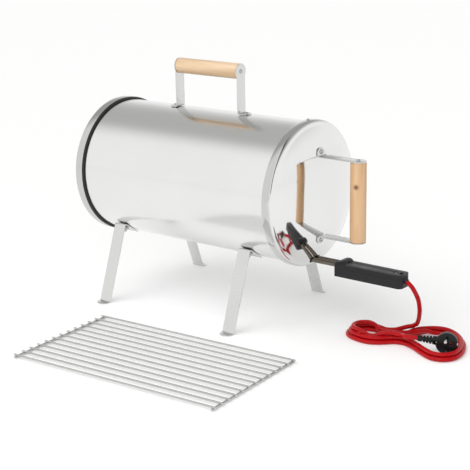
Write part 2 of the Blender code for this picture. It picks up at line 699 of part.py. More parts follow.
def plug():
    """An angled two-pin mains plug, lying on its edge: round head, pins, and the tail its cord leaves by."""
    face = Vector(PLUG_FACE)
    heading = Vector((math.cos(PLUG_TURN), math.sin(PLUG_TURN), 0))
    tail_way = Vector((math.sin(PLUG_TURN), -math.cos(PLUG_TURN), 0.06)).normalized()
    profile = [(0, 0), (0.0160, 0), (PLUG_R, -0.0016), (PLUG_R, -0.0060), (0.0168, -0.0130), (0.0125, -0.0185),
               (0, -0.0205)]
    body = turned("plug_body", profile, PLASTIC, ELEMENT_AXIS, face, along(heading), 32)
    hub = face - heading * 0.0105
    inside = 0.006
    taper = cylinder_mesh("plug_tail", 0.0074, PLUG_TAIL - inside, 16, 0.0045)
    tail = cutter("plug_tail", taper, hub + tail_way * inside, along(tail_way))
    boolean(body, tail, "UNION")
    for name, z in (("upper", 0.0095), ("lower", -0.0095)):
        pin = add(f"plug_pin_{name}", cylinder_mesh(f"plug_pin_{name}", 0.0024, 0.019, 16), PINS, ELEMENT_AXIS,
                  face + heading * GAP + Vector((0, 0, z)), along(heading))
        smooth(pin)


cord_bundle()
plug()


# ---- Drip tray and grate ---------------------------------------------------------------------------------
def drip_tray():
    """A shallow pan with sloping sides, whose side rims rest on the drum's wall above the element."""
    back, front = TRAY_X
    low, high = TRAY_Z
    bm = bmesh.new()

    def loop(x_in, half, z):
        return [bm.verts.new((x, y, z)) for x, y in ((back + x_in, -half), (front - x_in, -half),
                                                     (front - x_in, half), (back + x_in, half))]

    floor = loop(0.012, TRAY_FLOOR, low)
    brim = loop(0, TRAY_TOP, high)
    bm.faces.new(floor)
    for i in range(4):
        j = (i + 1) % 4
        bm.faces.new((floor[i], brim[i], brim[j], floor[j]))
    for i, side in ((0, -1), (2, 1)):
        rim = [bm.verts.new((brim[k].co.x, side * TRAY_RIM, high)) for k in (i, i + 1)]
        bm.faces.new((brim[i], rim[0], rim[1], brim[i + 1]))
    bmesh.ops.recalc_face_normals(bm, faces=bm.faces)
    mesh = bpy.data.meshes.new("drip_tray")
    bm.to_mesh(mesh)
    bm.free()
    tray = add("drip_tray", mesh, TRAY, TRAY_AXIS)
    sheet = tray.modifiers.new("sheet", "SOLIDIFY")
    sheet.thickness = TRAY_SHEET
    sheet.offset = 0
    sheet.use_even_offset = True


def rods_mesh(name, rods, radius):
    """Parallel round bars, each from a start to an end point, as one mesh of separate bodies."""
    bm = bmesh.new()
    for start, end in rods:
        start, end = Vector(start), Vector(end)
        made = bmesh.ops.create_cone(bm, cap_ends=True, segments=8, radius1=radius, radius2=radius,
                                     depth=(end - start).length)
        turn = (end - start).to_track_quat("Z", "Y").to_matrix().to_4x4()
        bmesh.ops.transform(bm, verts=made["verts"], matrix=Matrix.Translation((start + end) / 2) @ turn)
    mesh = bpy.data.meshes.new(name)
    bm.to_mesh(mesh)
    bm.free()
    return mesh


def grate():
    """Parallel rods welded on two cross wires, lying on the floor."""
    length, width = GRATE_SIZE
    inset = 0.004
    cross = [((x, -0.004, CROSS_R + GAP), (x, width + 0.004, CROSS_R + GAP)) for x in (inset, length - inset)]
    pitch = width / (GRATE_RODS - 1)
    rod_z = 2 * CROSS_R + ROD_R - 0.0006
    rods = [((-0.0005, pitch * k, rod_z), (length + 0.0005, pitch * k, rod_z)) for k in range(GRATE_RODS)]
    at, turn = (*GRATE_CORNER, 0), (0, 0, GRATE_TURN)
    frame = add("grate", rods_mesh("grate", cross, CROSS_R), WIRE, GRATE_AXIS, at, turn)
    tool = cutter("grate_rods", rods_mesh("grate_rods", rods, ROD_R), at, turn)
    boolean(frame, tool, "UNION")


drip_tray()
grate()
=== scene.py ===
"""Looks for the electric drum smoker: smooth, detailed pieces and procedural materials round the frame."""

import math

import bmesh
import bpy
import numpy as np
from mathutils import Matrix, Vector

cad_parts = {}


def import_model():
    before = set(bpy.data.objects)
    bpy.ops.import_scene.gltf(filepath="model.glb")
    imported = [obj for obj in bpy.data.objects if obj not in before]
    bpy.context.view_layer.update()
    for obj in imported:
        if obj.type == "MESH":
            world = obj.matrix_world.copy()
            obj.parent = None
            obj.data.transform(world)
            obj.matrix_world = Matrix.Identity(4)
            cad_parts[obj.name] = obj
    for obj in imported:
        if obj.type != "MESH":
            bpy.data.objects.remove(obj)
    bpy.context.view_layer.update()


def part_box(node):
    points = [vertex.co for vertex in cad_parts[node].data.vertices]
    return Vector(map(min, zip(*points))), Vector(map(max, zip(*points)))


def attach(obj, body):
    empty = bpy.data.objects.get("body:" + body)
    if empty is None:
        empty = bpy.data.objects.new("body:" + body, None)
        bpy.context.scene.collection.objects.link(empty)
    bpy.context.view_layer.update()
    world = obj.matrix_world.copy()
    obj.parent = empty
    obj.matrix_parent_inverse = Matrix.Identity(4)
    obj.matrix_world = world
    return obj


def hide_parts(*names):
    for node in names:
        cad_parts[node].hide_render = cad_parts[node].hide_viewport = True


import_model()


# ---- The drum's own coordinates ----
# x runs along the drum's axis, y = 0 on it, z = 0 on the floor; the frame gives where that is.
DRUM_BACK = -0.190
SHELL_LOW, SHELL_HIGH = (Vector(corner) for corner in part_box("drum_shell"))
SHIFT = Vector((SHELL_LOW.x - DRUM_BACK, (SHELL_LOW.y + SHELL_HIGH.y) / 2, 0.0))
AXIS_Z = (SHELL_LOW.z + SHELL_HIGH.z) / 2
DRUM_R = (SHELL_HIGH.z - SHELL_LOW.z) / 2
DRUM_FRONT = SHELL_HIGH.x - SHIFT.x

SHEET = 0.001
GAP = 0.0003                # left between pieces that touch

COVER_R = 0.125
SKIRT = 0.0165              # depth of a cover's straight side
DOOR_DOME, REAR_DOME = 0.018, 0.016
DOOR_SHOULDER, REAR_SHOULDER = 0.0075, 0.0025
DOOR_FOLD, REAR_FOLD = 0.240, -0.1995   # where each cover's face meets its shoulder
RIVET_INSET = 0.0115        # from the door's fold back to its rivets
SEAL_BAND = 0.0030          # width of the seal that can be seen

STRIP = 0.0016              # thickness of the bent strips
LEG_X = (-0.131, 0.156)
LEG_WIDTH = 0.025
LEG_ANGLE = math.radians(34)
LEG_TAB = 0.038
FOOT_Y = 0.133
FOOT_TAB = 0.016

GRIP_R = 0.0135
TOP_GRIP_Z = 0.4225
TOP_STRIP_X = (-0.050, 0.088)
HANDLE_WIDTH = 0.022
HANDLE_TAB = 0.019
DOOR_GRIP_X = 0.3285
DOOR_STRIP_Z = (0.1575, 0.2948)
DOOR_FOOT = 0.0145

TUBE_R = 0.004
TUBE_PITCH = 0.014
TUBE_Z = 0.1140
ELEMENT_TIP = -0.112
SLOT = (0.028, 0.0105)      # width and height of the door's slot for the element
GRIP_BOX = (0.2905, 0.4205)   # the element's handle: its ends, width, and its low, parting and high levels
GRIP_WIDTH = 0.030
GRIP_Z = (0.0960, 0.1115, 0.1185)
HUMP = (0.0215, 0.0045)     # length and height of the raised front of the handle

CORD_R = 0.00375
EXIT_TILT = math.radians(38)
GROMMET_LIP = 0.0025
PLUG_FACE = Vector((0.5034, -0.0083, 0.0187))
PLUG_TURN = math.radians(-68)
PLUG_R = 0.0182
PLUG_TAIL = 0.048           # from the plug's axis to the end of its tail
PIN_PITCH = 0.019
PIN_R = 0.0024

TRAY_X = (-0.175, 0.215)
TRAY_FLOOR, TRAY_TOP, TRAY_RIM = 0.050, 0.070, 0.0796   # half widths
TRAY_Z = (0.1270, 0.1400)
GRATE_SIZE = (0.400, 0.2175)
GRATE_CORNER = (-0.0582, -0.4205)
GRATE_TURN = math.radians(3.6)
GRATE_RODS = 13
ROD_R = 0.0016
CROSS_R = 0.0021


# ---- Camera, light and stage ----
def place(point):
    """A point in the drum's coordinates as a point in the frame."""
    return Vector(point) + SHIFT


def linked(name, data):
    obj = bpy.data.objects.new(name, data)
    bpy.context.scene.collection.objects.link(obj)
    return obj


CAMERA_AT = (1.4238, -1.7013, 0.7531)
YAW, PITCH, ROLL = 2.2434, 0.2800, -0.0194
FOCAL = 97.08
FAR = 60


def camera():
    forward = Vector((math.cos(YAW) * math.cos(PITCH), math.sin(YAW) * math.cos(PITCH), -math.sin(PITCH)))
    right = forward.cross(Vector((0, 0, 1))).normalized()
    up = right.cross(forward)
    right_rolled = right * math.cos(ROLL) + up * math.sin(ROLL)
    up_rolled = up * math.cos(ROLL) - right * math.sin(ROLL)
    data = bpy.data.cameras.new("camera")
    data.lens = FOCAL
    data.clip_end = FAR
    obj = linked("camera", data)
    rotation = Matrix((right_rolled, up_rolled, -forward)).transposed()
    obj.matrix_world = Matrix.Translation(place(CAMERA_AT)) @ rotation.to_4x4()
    bpy.context.scene.camera = obj


def lights():
    """A broad sun high over the drum's rear end, and a weak panel near the camera; steel shows neither."""
    key = bpy.data.lights.new("key", "SUN")
    key.energy = 1.0
    key.angle = math.radians(50)
    key_obj = linked("key", key)
    key_obj.rotation_euler = Vector((-0.55, -0.75, 1.6)).to_track_quat("Z", "Y").to_euler()
    fill = bpy.data.lights.new("fill", "AREA")
    fill.size = 1.2
    fill.energy = 10
    fill_obj = linked("fill", fill)
    fill_at, fill_target = Vector((1.6, -1.9, 1.5)), Vector((0.1, 0, 0.1))
    fill_obj.location = place(fill_at)
    fill_obj.rotation_euler = (fill_target - fill_at).to_track_quat("-Z", "Y").to_euler()
    for obj in (key_obj, fill_obj):
        obj.visible_glossy = False


def map_range(tree, source, low, high, out_low=0.0, out_high=1.0, curve="LINEAR"):
    node = tree.nodes.new("ShaderNodeMapRange")
    node.interpolation_type = curve
    for socket, value in zip(("From Min", "From Max", "To Min", "To Max"), (low, high, out_low, out_high)):
        node.inputs[socket].default_value = value
    tree.links.new(source, node.inputs["Value"])
    return node.outputs[0]


def mix_color(tree, factor, a, b):
    node = tree.nodes.new("ShaderNodeMix")
    node.data_type = "RGBA"
    for socket, value in (("A", a), ("B", b)):
        if isinstance(value, tuple):
            node.inputs[socket].default_value = (*value, 1)
        else:
            tree.links.new(value, node.inputs[socket])
    tree.links.new(factor, node.inputs["Factor"])
    return node.outputs["Result"]


def vector_math(tree, operation, source, value, output=0):
    node = tree.nodes.new("ShaderNodeVectorMath")
    node.operation = operation
    node.inputs[1].default_value = value
    tree.links.new(source, node.inputs[0])
    return node.outputs[output]


def product(tree, *factors):
    result = factors[0]
    for factor in factors[1:]:
        node = tree.nodes.new("ShaderNodeMath")
        node.operation = "MULTIPLY"
        tree.links.new(result, node.inputs[0])
        tree.links.new(factor, node.inputs[1])
        result = node.outputs[0]
    return result


FLAG_TURN = math.radians(19)
FLAG_WIDTH = 0.17
WHITE = (1.0, 1.0, 1.0)
CEILING = (0.50, 0.505, 0.49)
FLAG_TONE = (0.10, 0.10, 0.10)


def world():
    """A white studio: a grey ceiling above and behind the drum, and one tall dark flag before its door."""
    made = bpy.data.worlds.new("studio")
    bpy.context.scene.world = made
    made.use_nodes = True
    tree = made.node_tree
    background = tree.nodes["Background"]
    direction = tree.nodes.new("ShaderNodeTexCoord").outputs["Generated"]
    split = tree.nodes.new("ShaderNodeSeparateXYZ")
    tree.links.new(direction, split.inputs[0])
    height = map_range(tree, split.outputs["Z"], 0.12, 0.66, curve="SMOOTHSTEP")
    behind = map_range(tree, split.outputs["Y"], -0.42, 0.02, curve="SMOOTHSTEP")
    room = mix_color(tree, product(tree, height, behind), WHITE, CEILING)
    sideways = (math.sin(FLAG_TURN), math.cos(FLAG_TURN), 0.0)
    across = vector_math(tree, "DOT_PRODUCT", direction, sideways, "Value")
    soft_edge = 0.6 * FLAG_WIDTH
    rising = map_range(tree, across, -FLAG_WIDTH, -soft_edge, curve="SMOOTHSTEP")
    falling = map_range(tree, across, soft_edge, FLAG_WIDTH, 1.0, 0.0, curve="SMOOTHSTEP")
    ahead = map_range(tree, split.outputs["X"], 0.0, 0.15, curve="SMOOTHSTEP")
    studio = mix_color(tree, product(tree, rising, falling, ahead), room, FLAG_TONE)
    tree.links.new(studio, background.inputs["Color"])
    background.inputs["Strength"].default_value = 1.0


FLOOR_HALF = 14.0
FLOOR_DROP = 0.00005
FLOOR_TONE = 0.76
FLOOR_GLOW = 0.25


def stage():
    """A white floor that glows faintly, so that it runs out to white and still takes soft shadows."""
    corners = [(x * FLOOR_HALF, y * FLOOR_HALF, 0) for x, y in ((-1, -1), (1, -1), (1, 1), (-1, 1))]
    mesh = bpy.data.meshes.new("floor")
    mesh.from_pydata(corners, [], [(0, 1, 2, 3)])
    floor = linked("floor", mesh)
    floor.location.z = -FLOOR_DROP
    made = bpy.data.materials.new("floor_white")
    made.use_nodes = True
    shader = made.node_tree.nodes["Principled BSDF"]
    shader.inputs["Base Color"].default_value = (FLOOR_TONE, FLOOR_TONE, FLOOR_TONE, 1)
    shader.inputs["Roughness"].default_value = 0.6
    shader.inputs["Specular IOR Level"].default_value = 0.0
    shader.inputs["Emission Color"].default_value = (1, 1, 1, 1)
    shader.inputs["Emission Strength"].default_value = FLOOR_GLOW
    mesh.materials.append(made)


bpy.context.scene.view_settings.view_transform = "Standard"
camera()
world()
stage()
lights()


# ---- Materials ----
def new_material(name, color, roughness, metallic, specular):
    made = bpy.data.materials.new(name)
    made.use_nodes = True
    shader = made.node_tree.nodes["Principled BSDF"]
    shader.inputs["Base Color"].default_value = (*color, 1)
    shader.inputs["Roughness"].default_value = roughness
    shader.inputs["Metallic"].default_value = metallic
    shader.inputs["Specular IOR Level"].default_value = specular
    return made, made.node_tree, shader


def noise(tree, scale, detail, roughness=0.5, distortion=0.0):
    """Noise over the object's own coordinates, stretched by three scales."""
    source = tree.nodes.new("ShaderNodeTexCoord")
    mapping = tree.nodes.new("ShaderNodeMapping")
    mapping.inputs["Scale"].default_value = scale
    tree.links.new(source.outputs["Object"], mapping.inputs["Vector"])
    node = tree.nodes.new("ShaderNodeTexNoise")
    node.inputs["Scale"].default_value = 1.0
    node.inputs["Detail"].default_value = detail
    node.inputs["Roughness"].default_value = roughness
    node.inputs["Distortion"].default_value = distortion
    tree.links.new(mapping.outputs[0], node.inputs["Vector"])
    return node.outputs["Fac"]


def bump(tree, shader, height, strength, distance):
    node = tree.nodes.new("ShaderNodeBump")
    node.inputs["Strength"].default_value = strength
    node.inputs["Distance"].default_value = distance
    tree.links.new(height, node.inputs["Height"])
    tree.links.new(node.outputs[0], shader.inputs["Normal"])


def uneven(tree, shader, source, low, high, roughness, spread):
    varied = map_range(tree, source, low, high, roughness - spread, roughness + spread)
    tree.links.new(varied, shader.inputs["Roughness"])


def darker(color, share):
    return tuple(channel * share for channel in color)


def brushed(name, color, roughness, stretch, spread, depth=0.00002, painted_skirt_shade=None):
    """Metal drawn or brushed along one axis: streaks, a hair-fine relief and, on covers, a skirt painted
    darker as painted shade for its dark reflections.
    """
    made, tree, shader = new_material(name, color, roughness, 1.0, 0.5)
    streaks = noise(tree, stretch, 4.0, 0.6)
    cloud = noise(tree, (9, 9, 9), 2.0)
    uneven(tree, shader, streaks, 0.3, 0.7, roughness, spread)
    base = mix_color(tree, cloud, darker(color, 0.93), color)
    # On covers, the skirt's outer rim is painted darker by radius: painted shade standing in for dark
    # reflections and the shadow at its lip.
    if painted_skirt_shade:
        source = tree.nodes.new("ShaderNodeTexCoord")
        flat = vector_math(tree, "MULTIPLY", source.outputs["Object"], (0, 1, 1))
        radius = vector_math(tree, "DISTANCE", flat, (0, SHIFT.y, AXIS_Z), "Value")
        outer = map_range(tree, radius, COVER_R - 0.0035, COVER_R - 0.0010)
        base = mix_color(tree, outer, base, painted_skirt_shade)
    tree.links.new(base, shader.inputs["Base Color"])
    bump(tree, shader, streaks, 0.25, depth)
    return made


def wood(name, light, dark, along, knot=None):
    """Pale turned wood: long grain in two scales, fine pores and, on one grip, a small knot."""
    made, tree, shader = new_material(name, light, 0.5, 0.0, 0.35)
    grain = noise(tree, [3.0 if axis == along else 55.0 for axis in range(3)], 5.0, 0.55, 0.6)
    pores = noise(tree, [14.0 if axis == along else 420.0 for axis in range(3)], 3.0, 0.6)
    base = mix_color(tree, map_range(tree, grain, 0.38, 0.66), light, dark)
    color = mix_color(tree, map_range(tree, pores, 0.58, 0.80, 0.0, 0.55), base, darker(dark, 0.72))
    if knot:
        source = tree.nodes.new("ShaderNodeTexCoord")
        distance = vector_math(tree, "DISTANCE", source.outputs["Object"], knot, "Value")
        ring = map_range(tree, distance, 0.0014, 0.0060, 0.92, 0.0)
        color = mix_color(tree, ring, color, (0.16, 0.040, 0.012))
    tree.links.new(color, shader.inputs["Base Color"])
    uneven(tree, shader, pores, 0.3, 0.8, 0.52, 0.10)
    bump(tree, shader, pores, 0.35, 0.0001)
    return made


def moulded(name, color, roughness, grain=900.0, depth=0.00004, specular=0.5):
    """Moulded plastic or rubber with a fine sparked grain and faint uneven sheen."""
    made, tree, shader = new_material(name, color, roughness, 0.0, specular)
    fine = noise(tree, (grain, grain, grain), 2.0)
    broad = noise(tree, (35, 35, 35), 3.0)
    uneven(tree, shader, broad, 0.3, 0.7, roughness, 0.06)
    tree.links.new(mix_color(tree, broad, darker(color, 0.8), color), shader.inputs["Base Color"])
    bump(tree, shader, fine, 0.3, depth)
    return made


ALL_WAYS = (120.0, 120.0, 120.0)
# The skirts' darker tone is painted shade, standing in for the dark reflections and lip shadow on them.
SKIRT_PAINTED_SHADE = (0.60, 0.60, 0.59)
STEEL_TONE = (0.84, 0.84, 0.835)
COVER_TONE = (0.80, 0.80, 0.795)
POLISHED = brushed("polished_steel", STEEL_TONE, 0.20, (2.0, 260.0, 260.0), 0.03, 0.000006)
COVER_STEEL = brushed("cover_steel", COVER_TONE, 0.12, ALL_WAYS, 0.02, 0.000003, SKIRT_PAINTED_SHADE)
DOOR_STEEL = brushed("door_steel", STEEL_TONE, 0.07, ALL_WAYS, 0.02, 0.000003, SKIRT_PAINTED_SHADE)
SATIN = brushed("strip_steel", (0.72, 0.72, 0.71), 0.24, (260.0, 260.0, 30.0), 0.06)
ZINC = brushed("zinc", (0.66, 0.66, 0.64), 0.30, (300.0, 300.0, 300.0), 0.08)
PAN_STEEL = brushed("tray_steel", (0.74, 0.74, 0.73), 0.26, (4.0, 300.0, 300.0), 0.06)
TUBE_STEEL = brushed("element_tube", (0.185, 0.160, 0.130), 0.24, (5.0, 320.0, 320.0), 0.06)
WIRE_STEEL = brushed("chromed_wire", (0.60, 0.60, 0.59), 0.20, (200.0, 200.0, 200.0), 0.05)
NICKEL = brushed("nickel", (0.86, 0.84, 0.80), 0.14, (220.0, 220.0, 220.0), 0.04)
TOP_WOOD = wood("pale_wood", (0.80, 0.60, 0.405), (0.60, 0.395, 0.225), 0)
KNOT = place((DOOR_GRIP_X + 0.004, -GRIP_R, 0.254))
DOOR_WOOD = wood("warm_wood", (0.72, 0.475, 0.275), (0.55, 0.32, 0.160), 2, tuple(KNOT))
SEAL = moulded("black_seal", (0.012, 0.012, 0.013), 0.5)
BLACK = moulded("black_plastic", (0.012, 0.012, 0.014), 0.40, specular=0.34)
RUBBER = moulded("black_rubber", (0.014, 0.014, 0.015), 0.55)
PLUG_BLACK = moulded("plug_plastic", (0.005, 0.006, 0.007), 0.36, specular=0.34)
RED = moulded("red_cord", (0.47, 0.0, 0.003), 0.32, 500.0, 0.00002, 0.25)


# ---- Building pieces ----
def finish_piece(obj, body, replaced=()):
    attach(obj, body)
    if replaced:
        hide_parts(*replaced)
    return obj


def add(name, mesh, look, location=(0, 0, 0), rotation=(0, 0, 0)):
    obj = linked(name, mesh)
    obj.location = place(location)
    obj.rotation_euler = rotation
    mesh.materials.append(look)
    return obj


def along(direction):
    return Vector(direction).to_track_quat("Z", "Y").to_euler()


def arc(radius, start, stop, steps):
    """Points (radius * sin, radius * cos) for angles in degrees from start to stop."""
    angles = [math.radians(start + (stop - start) * step / steps) for step in range(steps + 1)]
    return [(radius * math.sin(a), radius * math.cos(a)) for a in angles]


def mesh_of(name, bm):
    mesh = bpy.data.meshes.new(name)
    bm.to_mesh(mesh)
    bm.free()
    return mesh


def baked(obj, angle=35):
    """Turns modifiers into mesh, moves the mesh into the frame and shades it smooth across shallow edges."""
    graph = bpy.context.evaluated_depsgraph_get()
    graph.update()
    mesh = bpy.data.meshes.new_from_object(obj.evaluated_get(graph))
    mesh.transform(obj.matrix_world)
    old = obj.data
    obj.modifiers.clear()
    if obj.type == "CURVE":
        name = obj.name
        bpy.data.objects.remove(obj, do_unlink=True)
        obj = linked(name, mesh)
    else:
        obj.data = mesh
        obj.matrix_world = Matrix.Identity(4)
    if not old.users and isinstance(old, bpy.types.Mesh):
        bpy.data.meshes.remove(old)
    mesh.shade_smooth()
    mesh.set_sharp_from_angle(angle=math.radians(angle))
    return obj


def lathe_mesh(name, profile, steps=96):
    """Revolves (radius, height) points about local Z; points on the axis become single vertices."""
    bm = bmesh.new()
    rings = []
    turns = [2 * math.pi * i / steps for i in range(steps)]
    for radius, height in profile:
        if radius:
            rings.append([bm.verts.new((radius * math.cos(a), radius * math.sin(a), height)) for a in turns])
        else:
            rings.append([bm.verts.new((0, 0, height))])
    pairs = list(zip(rings, rings[1:]))
    if profile[0][0]:
        pairs.append((rings[-1], rings[0]))
    for upper, lower in pairs:
        for i in range(steps):
            j = (i + 1) % steps
            if len(upper) == 1:
                bm.faces.new((upper[0], lower[i], lower[j]))
            elif len(lower) == 1:
                bm.faces.new((upper[j], upper[i], lower[0]))
            else:
                bm.faces.new((upper[j], upper[i], lower[i], lower[j]))
    bmesh.ops.recalc_face_normals(bm, faces=bm.faces)
    return mesh_of(name, bm)


def lathe(name, profile, look, location, direction, steps=96):
    return add(name, lathe_mesh(name, profile, steps), look, location, along(direction))


def cylinder_mesh(name, radius, length, sides):
    bm = bmesh.new()
    bmesh.ops.create_cone(bm, cap_ends=True, segments=sides, radius1=radius, radius2=radius, depth=length)
    bmesh.ops.translate(bm, verts=bm.verts, vec=(0, 0, length / 2))
    return mesh_of(name, bm)


def box_mesh(name, size):
    bm = bmesh.new()
    bmesh.ops.create_cube(bm, size=1.0)
    bmesh.ops.scale(bm, verts=bm.verts, vec=size)
    return mesh_of(name, bm)


def extruded(name, outline, way):
    """A flat outline of points, drawn out along a vector."""
    bm = bmesh.new()
    grown = bmesh.ops.extrude_face_region(bm, geom=[bm.faces.new([bm.verts.new(p) for p in outline])])
    verts = [item for item in grown["geom"] if isinstance(item, bmesh.types.BMVert)]
    bmesh.ops.translate(bm, verts=verts, vec=way)
    bmesh.ops.recalc_face_normals(bm, faces=bm.faces)
    return mesh_of(name, bm)


def band_mesh(name, rows):
    """A strip of quads between rows of two points."""
    bm = bmesh.new()
    made = [[bm.verts.new(p) for p in row] for row in rows]
    for (a, b), (c, d) in zip(made, made[1:]):
        bm.faces.new((a, b, d, c))
    return mesh_of(name, bm)


def thickened(obj, thickness, even=False):
    solid = obj.modifiers.new("thickness", "SOLIDIFY")
    solid.thickness = thickness
    solid.offset = 0
    solid.use_even_offset = even


def wire(name, points, radius, look, sides, cyclic=False):
    """A curve of round section through points in the drum's coordinates."""
    curve = bpy.data.curves.new(name, "CURVE")
    curve.dimensions = "3D"
    curve.bevel_depth = radius
    curve.bevel_resolution = sides
    curve.use_fill_caps = not cyclic
    spline = curve.splines.new("POLY")
    spline.points.add(len(points) - 1)
    for target, point in zip(spline.points, points):
        target.co = (*place(point), 1)
    spline.use_cyclic_u = cyclic
    spline.use_smooth = True
    curve.materials.append(look)
    return linked(name, curve)


def boolean(obj, mesh, location, rotation=(0, 0, 0), operation="DIFFERENCE", round_by=0.0):
    """Cuts or joins a shape at once, and removes the tool."""
    tool = linked("tool", mesh)
    tool.location = place(location)
    tool.rotation_euler = rotation
    if round_by:
        bevel = tool.modifiers.new("round", "BEVEL")
        bevel.width = round_by
        bevel.segments = 4
    modifier = obj.modifiers.new("boolean", "BOOLEAN")
    modifier.operation = operation
    modifier.solver = "EXACT"
    modifier.object = tool
    graph = bpy.context.evaluated_depsgraph_get()
    graph.update()
    made = bpy.data.meshes.new_from_object(obj.evaluated_get(graph))
    obj.modifiers.clear()
    obj.data = made
    bpy.data.objects.remove(tool, do_unlink=True)


def hole(obj, centre, direction, radius, reach=0.012, sides=32):
    direction = Vector(direction).normalized()
    bit = cylinder_mesh("bit", radius, 2 * reach, sides)
    boolean(obj, bit, Vector(centre) - reach * direction, along(direction))


def rounded_edges(obj, width, segments=2, angle=30):
    bevel = obj.modifiers.new("edges", "BEVEL")
    bevel.width = width
    bevel.segments = segments
    bevel.limit_method = "ANGLE"
    bevel.angle_limit = math.radians(angle)
    return obj


# ---- Drum and covers ----
def dome_x(radius, shoulder=DOOR_SHOULDER, dome=DOOR_DOME):
    return dome * (1 - (radius / (COVER_R - shoulder)) ** 3)


def cover_profile(shoulder, dome):
    """A pressed cover: domed face, rounded shoulder, straight skirt with a hemmed lip."""
    rim = COVER_R - shoulder
    face = [rim * step / 32 for step in range(33)]
    outer = [(radius, dome_x(radius, shoulder, dome)) for radius in face]
    fold = [(rim + out, up - shoulder) for out, up in arc(shoulder, 9, 90, 9)]
    ease = 0.0006
    lip = [(COVER_R, -SKIRT + ease), (COVER_R - ease / 2, -SKIRT), (COVER_R - SHEET + ease / 2, -SKIRT),
           (COVER_R - SHEET, -SKIRT + ease)]
    inside = [(rim + out, up - shoulder) for out, up in arc(shoulder - SHEET, 90, 9, 9)]
    inner_face = [(radius, dome_x(radius, shoulder, dome) - SHEET) for radius in face[::-1]]
    return outer + fold + lip + inside + inner_face


def drum_pieces():
    inside, mouth = DRUM_R - SHEET, DRUM_FRONT - 0.0002
    wall = [(DRUM_R, mouth), (DRUM_R, DRUM_BACK), (inside, DRUM_BACK), (inside, mouth)]
    shell = lathe("drum", wall, POLISHED, (0, 0, AXIS_Z), (1, 0, 0), 192)
    finish_piece(baked(shell), "root", ["drum_shell"])
    rear_profile = cover_profile(REAR_SHOULDER, REAR_DOME)
    rear = lathe("rear_cap", rear_profile, COVER_STEEL, (REAR_FOLD, 0, AXIS_Z), (-1, 0, 0), 192)
    finish_piece(baked(rear, 60), "root", ["rear_cover"])
    outer, inner, tucked = COVER_R - 0.0012, DRUM_R + GAP, -0.006
    ring = [(outer - 0.0014, SEAL_BAND), (outer - 0.0005, SEAL_BAND - 0.0003), (outer, SEAL_BAND - 0.0012),
            (outer, 0.0), (COVER_R - SHEET - GAP, tucked), (inner, tucked), (inner, SEAL_BAND)]
    seal = lathe("rear_seal", ring, SEAL, (REAR_FOLD + SKIRT + GAP, 0, AXIS_Z), (1, 0, 0), 160)
    finish_piece(baked(seal), "root", ["rear_seal_ring"])
    door_profile = cover_profile(DOOR_SHOULDER, DOOR_DOME)
    door = lathe("door_cap", door_profile, DOOR_STEEL, (DOOR_FOLD, 0, AXIS_Z), (1, 0, 0), 192)
    slot = box_mesh("slot", (0.05, *SLOT))
    boolean(door, slot, (DOOR_FOLD + 0.02, 0, TUBE_Z), round_by=SLOT[1] * 0.45)
    finish_piece(baked(door, 60), "door", ["door"])


def slot_shade_rim():
    """The slot's turned-in edge, in the tubes' dark steel as painted shade: a thin dark rim round the tubes.
    """
    edge, thin = 0.0002, 0.0006
    radius = SLOT[1] * 0.44
    out, up = SLOT[0] / 2 - edge - radius, SLOT[1] / 2 - edge - radius
    points = []
    for cy, cz, start in ((out, up, 0), (-out, up, 90), (-out, -up, 180), (out, -up, 270)):
        for step in range(7):
            a = math.radians(start + 15 * step)
            y, z = cy + radius * math.cos(a), TUBE_Z + cz + radius * math.sin(a)
            points.append((DOOR_FOLD + dome_x(math.hypot(y, z - AXIS_Z)) - thin, y, z))
    # The edge takes the element tubes' dark colour: painted shade in the slot, not the door's own steel.
    rim = wire("slot_shade_rim", points, thin, TUBE_STEEL, 2, cyclic=True)
    finish_piece(baked(rim), "door")


drum_pieces()
slot_shade_rim()


# ---- Bent strips ----
def rounded(corners, radius=0.003, steps=8):
    """A path through the corners, with an arc at each bend."""
    path = [Vector(corners[0])]
    for before, corner, after in zip(corners, corners[1:], corners[2:]):
        corner = Vector(corner)
        back = (Vector(before) - corner).normalized()
        ahead = (Vector(after) - corner).normalized()
        half = back.angle(ahead) / 2
        reach = radius / math.tan(half)
        centre = corner + (back + ahead).normalized() * (radius / math.sin(half))
        start = corner + back * reach - centre
        axis = start.cross(corner + ahead * reach - centre).normalized()
        for step in range(steps + 1):
            path.append(centre + Matrix.Rotation((math.pi - 2 * half) * step / steps, 3, axis) @ start)
    path.append(Vector(corners[-1]))
    return path


def end_cap(tip, inward, half, radius, steps=12):
    """Points and half widths along a strip's round end, from its tip inwards."""
    reach = radius + math.sqrt(max(radius ** 2 - half ** 2, 0))
    pairs = []
    for step in range(steps + 1):
        back = reach * (0.012 + 0.988 * (step / steps) ** 1.8)
        pairs.append((tip + inward * back, math.sqrt(max(radius ** 2 - (radius - back) ** 2, 0))))
    return pairs


def strip(name, corners, width_axis, half, round_ends):
    """A bent strip; round_ends gives the radius of each end, or 0 for a square one."""
    path = rounded([Vector(corner) for corner in corners])
    pairs = [(point, half) for point in path]
    if round_ends[0]:
        pairs = end_cap(path[0], (path[1] - path[0]).normalized(), half, round_ends[0]) + pairs[1:]
    if round_ends[1]:
        pairs = pairs[:-1] + end_cap(path[-1], (path[-2] - path[-1]).normalized(), half, round_ends[1])[::-1]
    axis = Vector(width_axis)
    rows = [(point - axis * w, point + axis * w) for point, w in pairs]
    obj = add(name, band_mesh(name, rows), SATIN)
    thickened(obj, STRIP - 0.00002, even=True)
    return rounded_edges(obj, 0.00028, 2, 55)


